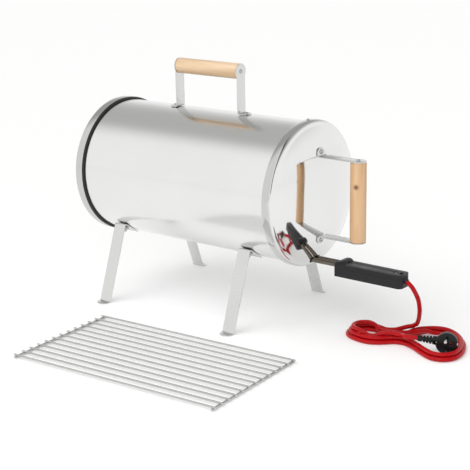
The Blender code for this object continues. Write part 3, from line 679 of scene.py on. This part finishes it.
# ---- Fasteners ----
def screw(name, seat, direction, shank, length, head, body, node):
    """A pan-head screw with a cross recess."""
    crown = [(out, head * 0.10 + up * 0.50) for out, up in arc(head, 15, 90, 5)]
    shaft = [(head, 0.0), (shank, 0.0), (shank, -length + shank * 0.5), (shank * 0.5, -length), (0, -length)]
    outward = -Vector(direction)
    obj = lathe(name, [(0, head * 0.60)] + crown + shaft, ZINC, seat, outward, 32)
    top = Vector(seat) + outward * head * 0.62
    for turn in (0, 90):
        spin = Matrix.Rotation(math.radians(turn), 3, "Z")
        rotation = (along(outward).to_matrix() @ spin).to_euler()
        boolean(obj, box_mesh("recess", (head * 1.05, head * 0.24, head * 0.62)), top, rotation)
    return finish_piece(baked(obj, 30), body, [node])


def nut(name, seat, direction, body, node, across=0.008, height=0.0035):
    """A hexagon nut with chamfered corners."""
    obj = add(name, cylinder_mesh(name, across / math.sqrt(3), height, 6), ZINC, seat, along(direction))
    flat, corner = across * 0.485, across * 0.60
    profile = [(0, height), (flat, height), (corner, height * 0.78), (corner, height * 0.22), (flat, 0),
               (0, 0)]
    boolean(obj, lathe_mesh("chamfer", profile, 48), seat, along(direction), "INTERSECT")
    return finish_piece(baked(obj, 25), body, [node])


def rivet(name, side):
    head, shank, depth = 0.0034, 0.0016, 0.0020
    seat = Vector((DOOR_FOLD - RIVET_INSET, 0, AXIS_Z + side * (COVER_R + GAP)))
    dome = [(out, up * shank / head) for out, up in arc(head, 0, 90, 6)]
    profile = dome + [(head, 0.0), (shank, 0.0), (shank, -depth), (0, -depth)]
    obj = lathe(f"rivet_{name}", profile, ZINC, seat, (0, 0, side), 32)
    finish_piece(baked(obj), "door", [f"door_rivet_{name}"])


def door_spring(name, side):
    """A leaf spring under the skirt, held by the rivet."""
    x = DOOR_FOLD - RIVET_INSET
    base = AXIS_Z + side * (COVER_R - SHEET - GAP - 0.0004)
    leaf = [(x - 0.0060, base - side * 0.0004), (x + 0.0026, base), (x + 0.0048, base - side * 0.0014)]
    rows = [[(u, y, v) for y in (-0.006, 0.006)] for u, v in leaf]
    obj = add(f"spring_leaf_{name}", band_mesh(name, rows), SATIN)
    thickened(obj, 0.0005)
    finish_piece(baked(obj), "door", [f"door_spring_{name}"])


for fixing in (rivet, door_spring):
    for side_name, side in (("upper", 1), ("lower", -1)):
        fixing(side_name, side)


# ---- Legs ----
LEG_BOLT = (0.0025, 0.0125, 0.0048)     # radius of the shank, its length, radius of the head


def leg(name, x, side):
    radial = Vector((0, side * math.sin(LEG_ANGLE), -math.cos(LEG_ANGLE)))
    upward = Vector((0, side * math.cos(LEG_ANGLE), math.sin(LEG_ANGLE)))
    centre = Vector((x, 0, AXIS_Z))
    tab = centre + radial * (DRUM_R + GAP + STRIP / 2)
    corners = [tab - upward * LEG_TAB / 2, tab + upward * LEG_TAB / 2,
               Vector((x, side * FOOT_Y, STRIP / 2)), Vector((x, side * (FOOT_Y + FOOT_TAB), STRIP / 2))]
    half = LEG_WIDTH / 2
    piece = baked(strip(f"leg_strip_{name}", corners, (1, 0, 0), half, (0, half)))
    finish_piece(piece, "root", [f"leg_{name}"])
    head = centre + radial * (DRUM_R - SHEET - 2 * GAP)
    screw(f"bolt_{name}", head, radial, *LEG_BOLT, "root", f"leg_bolt_{name}")
    nut(f"nut_{name}", tab + radial * (STRIP / 2 + GAP), radial, "root", f"leg_nut_{name}")


for side_name, side in (("front", -1), ("back", 1)):
    for end_name, leg_x in zip(("rear", "door"), LEG_X):
        leg(f"{side_name}_{end_name}", leg_x, side)


# ---- Wooden handles ----
FOOT_SCREW = (0.002, 0.0095, 0.0042)    # radius of the shank, its length, radius of the head
FOOT_NUT = (0.007, 0.003)               # across the flats, and height
GRIP_SCREW = (0.0018, 0.020, 0.0036)


def grip(name, start, end, look, body, node):
    start, end = Vector(start), Vector(end)
    length = (end - start).length
    ease = 0.0014
    corner = [(GRIP_R - ease + out, length - ease + up) for out, up in arc(ease, 0, 90, 6)]
    profile = [(0, length)] + corner + [(r, length - h) for r, h in reversed(corner)] + [(0, 0)]
    obj = lathe(name, profile, look, start, end - start, 64)
    finish_piece(baked(obj, 50), body, [node])


def top_handle():
    low, high = TOP_STRIP_X
    inner = STRIP / 2 + GAP
    grip_low, grip_high = (low + inner, 0, TOP_GRIP_Z), (high - inner, 0, TOP_GRIP_Z)
    grip("top_dowel", grip_low, grip_high, TOP_WOOD, "root", "top_handle_grip")
    seat = AXIS_Z + DRUM_R + inner
    down = Vector((0, 0, -1))
    for name, x, out in (("rear", low, -1), ("door", high, 1)):
        corners = [(x + out * HANDLE_TAB, 0, seat), (x, 0, seat), (x, 0, TOP_GRIP_Z + GRIP_R)]
        ends = (HANDLE_WIDTH / 2 * 1.05, GRIP_R)
        piece = strip(f"top_strip_{name}", corners, (0, 1, 0), HANDLE_WIDTH / 2, ends)
        finish_piece(baked(piece), "root", [f"top_bracket_{name}"])
        at = Vector((x + out * HANDLE_TAB * 0.58, 0, seat + inner))
        under = Vector((at.x, 0, AXIS_Z + DRUM_R - SHEET - 2 * GAP))
        screw(f"top_pan_{name}", at, down, *FOOT_SCREW, "root", f"top_screw_{name}")
        nut(f"top_hex_{name}", under, down, "root", f"top_nut_{name}", *FOOT_NUT)
        axis = Vector((-out, 0, 0))
        end = Vector((x, 0, TOP_GRIP_Z)) - axis * inner
        screw(f"top_end_screw_{name}", end, axis, *GRIP_SCREW, "root", f"top_grip_screw_{name}")


def door_handle():
    low, high = DOOR_STRIP_Z
    inner = STRIP / 2 + GAP
    grip_low, grip_high = (DOOR_GRIP_X, 0, low + inner), (DOOR_GRIP_X, 0, high - inner)
    grip("door_dowel", grip_low, grip_high, DOOR_WOOD, "door", "door_handle_grip")
    clear = inner + 0.0002
    for name, z, out in (("lower", low, -1), ("upper", high, 1)):
        near = abs(z - AXIS_Z)
        far = near + DOOR_FOOT
        foot_in = Vector((DOOR_FOLD + dome_x(near) + clear, 0, z))
        foot_out = Vector((DOOR_FOLD + dome_x(far) + clear, 0, AXIS_Z + out * far))
        corners = [foot_out, foot_in, Vector((DOOR_GRIP_X + GRIP_R, 0, z))]
        ends = (HANDLE_WIDTH / 2, GRIP_R)
        piece = strip(f"door_strip_{name}", corners, (0, 1, 0), HANDLE_WIDTH / 2, ends)
        finish_piece(baked(piece), "door", [f"door_bracket_{name}"])
        middle = foot_in.lerp(foot_out, 0.50)
        tangent = (foot_out - foot_in).normalized()
        inward = Vector((-abs(tangent.z), 0, tangent.x * out)).normalized()
        under = middle + inward * (STRIP / 2 + SHEET + 0.0009)
        screw(f"door_pan_{name}", middle - inward * inner, inward, *FOOT_SCREW, "door", f"door_screw_{name}")
        nut(f"door_hex_{name}", under, inward, "door", f"door_nut_{name}", *FOOT_NUT)
        axis = Vector((0, 0, -out))
        end = Vector((DOOR_GRIP_X, 0, z)) - axis * inner
        screw(f"door_end_screw_{name}", end, axis, *GRIP_SCREW, "door", f"door_grip_screw_{name}")


top_handle()
door_handle()


# ---- Heating element and its handle ----
HANDLE_SCREW = (0.0015, 0.0115, 0.003)
SCREW_X = (("front", GRIP_BOX[0] + 0.0225), ("rear", GRIP_BOX[1] - 0.0185))
TUBE_SOCKET = 0.0105        # reach of the holes that take the tubes
SCREW_WELL = (0.0037, 0.0055)           # radius and reach of the well round a screw's head
SCREW_BORE = (0.0019, 0.0045)
CORD_HOLE = (0.0056, 0.010)
HUMP_SHAPE = ((1.0, -0.1), (0.93, 0.28), (0.84, 0.66), (0.74, 0.90), (0.64, 1.0), (0.54, 0.99), (0.42, 0.90),
              (0.30, 0.72), (0.18, 0.46), (0.054, 0.0))     # shares of the hump's length and height


def hairpin():
    half = TUBE_PITCH / 2
    tail = GRIP_BOX[0] + 0.0165
    bend = [(ELEMENT_TIP - out, side, TUBE_Z) for out, side in arc(half, 0, 180, 24)]
    points = [(tail, half, TUBE_Z)] + bend + [(tail, -half, TUBE_Z)]
    obj = wire("hairpin_tube", points, TUBE_R, TUBE_STEEL, 8)
    finish_piece(baked(obj), "element", ["element_hairpin"])


def plan_mesh(name, z_low, z_high, steps=10):
    """The handle's outline from above, with rounded corners, between two levels."""
    front, rear = GRIP_BOX
    half = GRIP_WIDTH / 2
    outline = []
    for x, side, radius, start in ((front, -1, 0.003, 180), (rear, -1, 0.008, 270), (rear, 1, 0.008, 0),
                                   (front, 1, 0.003, 90)):
        cx = x + (radius if x == front else -radius)
        cy = side * (half - radius)
        for step in range(steps + 1):
            a = math.radians(start + 90 * step / steps)
            outline.append((cx + radius * math.cos(a), cy + radius * math.sin(a), z_low))
    return extruded(name, outline, (0, 0, z_high - z_low))


def element_handle():
    """Two moulded shells with eased edges, a thumb hump and two sunk screws."""
    low, split, high = GRIP_Z
    front, rear = GRIP_BOX
    lower = add("handle_shell_lower", plan_mesh("handle_shell_lower", low, split - GAP / 2), BLACK)
    upper = add("handle_shell_upper", plan_mesh("handle_shell_upper", split + GAP / 2, high), BLACK)
    length, rise = HUMP
    sunk, half = high - 0.003, GRIP_WIDTH / 2 - 0.0010
    hump = [(front + 0.0010, -half, sunk), (front + length, -half, sunk)]
    hump += [(front + length * share, -half, high + rise * lift) for share, lift in HUMP_SHAPE]
    boolean(upper, extruded("hump", hump, (0, 2 * half, 0)), (0, 0, 0), operation="UNION")
    for shell in (lower, upper):
        for y in (-TUBE_PITCH / 2, TUBE_PITCH / 2):
            hole(shell, (front + 0.007, y, TUBE_Z), (1, 0, 0), TUBE_R + GAP, TUBE_SOCKET)
    for _, x in SCREW_X:
        hole(upper, (x, 0, high + 0.003), (0, 0, 1), *SCREW_WELL)
        hole(lower, (x, 0, split - 0.002), (0, 0, 1), *SCREW_BORE)
    down = Vector((math.cos(EXIT_TILT), 0, -math.sin(EXIT_TILT)))
    mouth = Vector((rear + 0.0012, 0, split - 0.0035))
    for shell in (lower, upper):
        hole(shell, mouth - down * 0.006, down, *CORD_HOLE)
    for name, shell in (("lower", lower), ("upper", upper)):
        rounded_edges(shell, 0.0009, 3, 40)
        finish_piece(baked(shell, 50), "element", [f"element_handle_{name}"])
    for name, x in SCREW_X:
        seat = (x, 0, high - 0.0025 + GAP)
        node = f"element_handle_screw_{name}"
        screw(f"handle_pan_{name}", seat, (0, 0, -1), *HANDLE_SCREW, "element", node)
    bore, buried = CORD_R + GAP, -0.0130
    profile = [(bore, GROMMET_LIP), (0.0042, GROMMET_LIP), (0.0046, GROMMET_LIP - 0.0005), (0.0047, 0.0),
               (0.0053, buried), (bore, buried)]
    relief = lathe("cord_relief", profile, RUBBER, mouth, down, 48)
    finish_piece(baked(relief, 50), "element", ["cord_grommet"])
    return mouth, down


hairpin()
EXIT, EXIT_DIRECTION = element_handle()


# ---- Mains cord ----
START = EXIT + EXIT_DIRECTION * (GROMMET_LIP + GAP)
FIRST = EXIT + EXIT_DIRECTION * 0.008
FLOOR_LAYER = CORD_R + GAP
SECOND_LAYER = 0.0108
THIRD_LAYER = 0.0176
# Each turn's place in the pile: how far it lies inside the outermost turn, and how high.
SLOTS = [(0.0039, SECOND_LAYER), (0.0, FLOOR_LAYER), (0.0078, FLOOR_LAYER), (0.0117, SECOND_LAYER)]
FOLD_SLOTS = SLOTS[:3] + [(0.0078, THIRD_LAYER)]
FOLD = range(2, 7)          # the points of the left loop that make its fold
# The lead from the handle to the hank, then the outermost turn's two loops, seen from above.
LEAD = [
    (0.4335, 0.0018, 0.0968), (0.4390, 0.0095, 0.0780), (0.4380, 0.0175, 0.0580), (0.4320, 0.0265, 0.0385),
    (0.4240, 0.0345, 0.0245), (0.4185, 0.0385, 0.0180),
]
LEFT_LOOP = [(0.386, 0.0165), (0.369, 0.0190), (0.350, 0.0222), (0.3288, 0.0132), (0.3200, -0.0080),
             (0.3288, -0.0292), (0.350, -0.0375), (0.3710, -0.0400), (0.3860, -0.0345), (0.3965, -0.0245),
             (0.4050, -0.0160)]
RIGHT_LOOP = [(0.4150, -0.0108), (0.4280, -0.0098), (0.4450, -0.0160), (0.4630, -0.0270), (0.4810, -0.0370),
              (0.4965, -0.0425), (0.5110, -0.0410), (0.5210, -0.0315), (0.5262, -0.0150), (0.5235, 0.0065),
              (0.5151, 0.0278), (0.5038, 0.0470), (0.4850, 0.0640), (0.4680, 0.0730), (0.4510, 0.0745),
              (0.4370, 0.0680), (0.4255, 0.0550), (0.4150, 0.0400), (0.4040, 0.0265)]
PLUG_HEADING = Vector((math.cos(PLUG_TURN), math.sin(PLUG_TURN), 0))
TAIL_WAY = Vector((math.sin(PLUG_TURN), -math.cos(PLUG_TURN), 0.06)).normalized()
HUB = PLUG_FACE - PLUG_HEADING * 0.0105
TAIL_END = HUB + TAIL_WAY * PLUG_TAIL
ONTO_HANK = (0.4070, 0.0345, 0.0160)
TO_PLUG = [(0.4030, -0.0150, 0.0176), (0.4180, -0.0130, 0.0188), (0.4320, -0.0170, 0.0205),
           TAIL_END - Vector((0.0100, 0.0036, -0.0006)), TAIL_END, TAIL_END - TAIL_WAY * 0.006]
STEP = 0.0045               # spacing of the points that settle


def catmull(points, spacing):
    """A smooth curve through the points, as points at an even spacing."""
    points = [Vector(p) for p in points]
    padded = [2 * points[0] - points[1]] + points + [2 * points[-1] - points[-2]]
    dense = []
    for p0, p1, p2, p3 in zip(padded, padded[1:], padded[2:], padded[3:]):
        for step in range(16):
            t = step / 16
            dense.append(0.5 * (2 * p1 + (p2 - p0) * t + (2 * p0 - 5 * p1 + 4 * p2 - p3) * t ** 2
                                + (3 * p1 - p0 - 3 * p2 + p3) * t ** 3))
    dense.append(points[-1])
    total = sum((b - a).length for a, b in zip(dense, dense[1:]))
    count = max(2, round(total / spacing))
    even, walked, target = [dense[0]], 0.0, total / count
    for a, b in zip(dense, dense[1:]):
        length = (b - a).length
        while length and walked + length >= target - 1e-9 and len(even) < count:
            even.append(a.lerp(b, (target - walked) / length))
            target += total / count
        walked += length
    even.append(dense[-1])
    return even


def inset(loop, slots):
    """An open loop with each point moved to its left, which is inwards, and raised, as its slot says."""
    moved = []
    for index, (point, (distance, height)) in enumerate(zip(loop, slots)):
        before = Vector(loop[max(index - 1, 0)])
        after = Vector(loop[min(index + 1, len(loop) - 1)])
        way = (after - before).normalized()
        moved.append((point[0] - way.y * distance, point[1] + way.x * distance, height))
    return moved


def cord_route():
    """The lead down from the handle, the hank's turns worked out by a loop, and the way up into the plug."""
    route = [START, FIRST] + LEAD + [ONTO_HANK]
    for turn, slot in enumerate(SLOTS):
        last = turn + 1 == len(SLOTS)
        left = [FOLD_SLOTS[turn] if i in FOLD else slot for i in range(len(LEFT_LOOP))]
        route += inset(LEFT_LOOP[:-2] if last else LEFT_LOOP, left)
        if not last:
            change = len(RIGHT_LOOP) - 1 - turn
            right = [slot if i < change else SLOTS[turn + 1] for i in range(len(RIGHT_LOOP))]
            route += inset(RIGHT_LOOP, right)
    return catmull(route + TO_PLUG, STEP)


SETTLE_ROUNDS = 20
NEIGHBOURS = 9              # points nearer than this along the cord don't push each other
SPREAD = 13                 # points over which a push spreads, with the two still ones at its ends
PUSH = 1.6                  # share of each spread-out push that is taken at once
BEND_R = 0.030              # bends tighter than this ease
SAG = 0.00004
TAIL_R, TAIL_TAPER = 0.0075, 0.003      # the plug's tail at its head, and how much thinner it ends
HEAD_MORE = 0.009           # how much further than the tail the plug's head reaches


def settle(points, held_first, held_last):
    """Lets the turns push each other apart, lie down and ease their bends, as a stiff cord does."""
    p = np.array([tuple(q) for q in points])
    n = len(p)
    rest = np.linalg.norm(np.diff(p, axis=0), axis=1).mean()
    free = np.ones(n)
    free[:held_first] = 0
    free[n - held_last:] = 0
    free = np.convolve(free, np.ones(5) / 5, "same") * free
    i, j = np.triu_indices(n, NEIGHBOURS)
    gap = 2 * CORD_R + GAP
    hub, tail = np.array(HUB), np.array(TAIL_END)
    axis = tail - hub
    kernel = np.hanning(SPREAD)[1:-1]
    kernel /= kernel.sum()
    for turn in range(SETTLE_ROUNDS):
        # Turns that overlap are pushed apart.
        move = np.zeros_like(p)
        count = np.zeros(n)
        apart = p[i] - p[j]
        near = (np.abs(apart) < gap).all(axis=1)
        a, b, apart = i[near], j[near], apart[near]
        length = np.linalg.norm(apart, axis=1)
        hit = length < gap
        a, b, apart, length = a[hit], b[hit], apart[hit], np.maximum(length[hit], 1e-6)
        push = apart / length[:, None] * ((gap - length) * 0.5)[:, None]
        for index, way in ((a, push), (b, -push)):
            np.add.at(move, index, way)
            np.add.at(count, index, 1)
        move /= np.maximum(count, 1)[:, None]
        # The plug's head and tapered tail push the cord away too.
        t = np.clip(((p - hub) @ axis) / (axis @ axis), 0, 0.96)
        away = p - hub - t[:, None] * axis
        size = np.linalg.norm(away, axis=1)
        room = CORD_R + TAIL_R - TAIL_TAPER * t + (t < 0.05) * HEAD_MORE
        move += away / size[:, None] * np.maximum(room - size, 0)[:, None]
        # A push spreads along the cord, because the cord is stiff.
        move = np.stack([np.convolve(move[:, k], kernel, "same") for k in range(3)], axis=1) * PUSH
        p += move * free[:, None]
        for reach, always in ((1, 0.12), (3, 0.0)):
            middle = 0.5 * (p[:-2 * reach] + p[2 * reach:])
            bend = np.linalg.norm(p[reach:-reach] - middle, axis=1)
            limit = (rest * reach) ** 2 / (2 * BEND_R)
            wants = np.clip((bend - limit) / np.maximum(bend, 1e-9), 0, 1)
            share = (always + 0.15 * wants) * free[reach:-reach]
            p[reach:-reach] += share[:, None] * (middle - p[reach:-reach])
        p[:, 2] -= SAG * free * (turn < SETTLE_ROUNDS * 0.7)
        for _ in range(4):
            step = p[1:] - p[:-1]
            size = np.linalg.norm(step, axis=1)
            fix = step * ((size - rest) / size)[:, None] * 0.5
            p[:-1] += fix * free[:-1, None]
            p[1:] -= fix * free[1:, None]
        p[:, 2] = np.where(free > 0, np.maximum(p[:, 2], FLOOR_LAYER), p[:, 2])
    return [Vector(q) for q in p]


def cord():
    lead = catmull([START, FIRST] + LEAD, STEP)
    smooth = catmull(settle(cord_route(), len(lead) - 3, 4), 0.0022)
    obj = wire("mains_cord", smooth, CORD_R, RED, 6)
    finish_piece(obj, "element", ["cord_tube", "cord_bundle"])
    return obj, round(sum((b - a).length for a, b in zip(smooth, smooth[1:])), 3)


CORD, CORD_LENGTH = cord()


# ---- Plug ----
TAPER = [(0, 0), (0.0078, 0), (0.0074, 0.012), (0.0060, 0.026), (0.0048, PLUG_TAIL - 0.007),
         (0.0044, PLUG_TAIL - 0.006), (0, PLUG_TAIL - 0.006)]
HEAD_BACK = [(PLUG_R, -0.0060), (0.0178, -0.0095), (0.0168, -0.0130), (0.0150, -0.0165), (0.0125, -0.0190),
             (0.0095, -0.0202), (0, -0.0205)]
PIN_LENGTH = 0.019
CLIP_SLOT, CLIP = (0.0055, 0.0075, 0.016), (0.0008, 0.0050, 0.0125)
EARTH_ASIDE = 0.0068        # from the face's middle to the earth contact
GROOVES = 4
GROOVE_START, GROOVE_PITCH, GROOVE_WIDTH = 0.0235, 0.0052, 0.0016
SLEEVE = [(0, 0.0072), (0.00255, 0.0072), (0.00265, 0.0), (0, 0.0)]
EARTH_CUP = [(0.0022, -0.0006), (0.0029, -0.0006), (0.0029, -0.0085), (0.0022, -0.0085)]


def plug():
    """An angled two-pin plug: round head with an earth contact, side clips and a tapered, ribbed tail."""
    ease = 0.0016
    lip = [(PLUG_R - ease + out, up - ease) for out, up in arc(ease, 0, 90, 6)]
    body = lathe("plug_shell", [(0, 0)] + lip + HEAD_BACK, PLUG_BLACK, PLUG_FACE, PLUG_HEADING, 96)
    boolean(body, lathe_mesh("tail", TAPER, 48), HUB + TAIL_WAY * 0.006, along(TAIL_WAY), "UNION")
    upright = Vector((0, 0, 1))
    side = upright.cross(PLUG_HEADING).normalized()
    spin = Matrix((side, upright, PLUG_HEADING)).transposed().to_euler()
    for sign in (-1, 1):
        at = PLUG_FACE - PLUG_HEADING * 0.0060 + side * sign * (PLUG_R + 0.0008)
        boolean(body, box_mesh("clip_slot", CLIP_SLOT), at, spin)
    earth = PLUG_FACE + side * EARTH_ASIDE
    hole(body, earth, PLUG_HEADING, 0.0030, 0.010, 40)
    for k in range(GROOVES):
        inner, outer = 0.0040 - 0.0002 * k, 0.012
        profile = [(inner, 0), (outer, 0), (outer, GROOVE_WIDTH), (inner, GROOVE_WIDTH)]
        at = HUB + TAIL_WAY * (GROOVE_START + GROOVE_PITCH * k)
        boolean(body, lathe_mesh("groove", profile, 40), at, along(TAIL_WAY))
    rounded_edges(body, 0.0003, 2, 45)
    pieces = [finish_piece(baked(body, 40), "element", ["plug_body"])]
    for name, sign in (("left", -1), ("right", 1)):
        at = PLUG_FACE - PLUG_HEADING * 0.0070 + side * sign * (PLUG_R - 0.0015)
        clip = add(f"earth_clip_{name}", box_mesh("clip", CLIP), NICKEL, at, spin)
        rounded_edges(clip, 0.0002)
        pieces.append(finish_piece(baked(clip), "element"))
    cup = lathe("earth_contact", EARTH_CUP, NICKEL, earth, PLUG_HEADING, 40)
    pieces.append(finish_piece(baked(cup), "element"))
    nose = [(out, up + PIN_LENGTH - PIN_R) for out, up in arc(PIN_R, 0, 90, 6)]
    for name, z in (("upper", PIN_PITCH / 2), ("lower", -PIN_PITCH / 2)):
        root = PLUG_FACE + Vector((0, 0, z))
        shaft = nose + [(PIN_R, 0.0), (0, 0.0)]
        pin = lathe(f"pin_{name}", shaft, NICKEL, root + PLUG_HEADING * GAP, PLUG_HEADING, 40)
        pieces.append(finish_piece(baked(pin, 50), "element", [f"plug_pin_{name}"]))
        collar = lathe(f"pin_sleeve_{name}", SLEEVE, PLUG_BLACK, root, PLUG_HEADING, 40)
        pieces.append(finish_piece(baked(collar, 50), "element"))
    return pieces


plug()


# ---- Drip tray and grate ----
def drip_tray():
    """A shallow folded pan whose long rims rest on the drum's wall."""
    back, front = TRAY_X
    low, high = TRAY_Z
    slope = 0.012
    bm = bmesh.new()

    def outline(x_back, x_front, half, z):
        return [bm.verts.new((x_back, -half, z)), bm.verts.new((x_front, -half, z)),
                bm.verts.new((x_front, half, z)), bm.verts.new((x_back, half, z))]

    floor = outline(back + slope, front - slope, TRAY_FLOOR, low)
    brim = outline(back, front, TRAY_TOP, high)
    bm.faces.new(floor)
    for i in range(4):
        j = (i + 1) % 4
        bm.faces.new((floor[i], brim[i], brim[j], floor[j]))
    for i, side in ((0, -1), (2, 1)):
        rim = [bm.verts.new((brim[k].co.x, side * TRAY_RIM, high)) for k in (i, i + 1)]
        bm.faces.new((brim[i], rim[0], rim[1], brim[i + 1]))
    bmesh.ops.recalc_face_normals(bm, faces=bm.faces)
    pan = add("pan", mesh_of("pan", bm), PAN_STEEL)
    rounded_edges(pan, 0.0035, 4)
    thickened(pan, 0.0008)
    finish_piece(baked(pan, 40), "drip_tray", ["drip_tray"])


def grate_wire(name, start, end, radius):
    start, end = Vector(start), Vector(end)
    length = (end - start).length
    ease = radius * 0.25
    profile = [(0, 0), (radius * 0.8, 0), (radius, ease), (radius, length - ease), (radius * 0.8, length),
               (0, length)]
    obj = linked(name, lathe_mesh(name, profile, 20))
    obj.data.materials.append(WIRE_STEEL)
    turn = Matrix.Rotation(GRATE_TURN, 4, "Z")
    corner = Vector((*GRATE_CORNER, 0))
    upright = (end - start).to_track_quat("Z", "Y").to_matrix().to_4x4()
    obj.matrix_world = Matrix.Translation(place(corner + turn @ start)) @ turn @ upright
    bpy.context.view_layer.update()
    finish_piece(baked(obj, 50), "grate", ["grate"])


def grate():
    """Thin rods welded on two thicker cross wires, which lie on the floor."""
    length, width = GRATE_SIZE
    margin, past_width, past_length, sunk = 0.004, 0.004, 0.0005, 0.0006
    cross_z = CROSS_R + GAP
    for k, x in enumerate((margin, length - margin)):
        start, end = (x, -past_width, cross_z), (x, width + past_width, cross_z)
        grate_wire(f"cross_wire_{k + 1}", start, end, CROSS_R)
    pitch = width / (GRATE_RODS - 1)
    rod_z = 2 * CROSS_R + ROD_R - sunk
    for k in range(GRATE_RODS):
        start, end = (-past_length, pitch * k, rod_z), (length + past_length, pitch * k, rod_z)
        grate_wire(f"rod_{k + 1:02d}", start, end, ROD_R)


drip_tray()
grate()
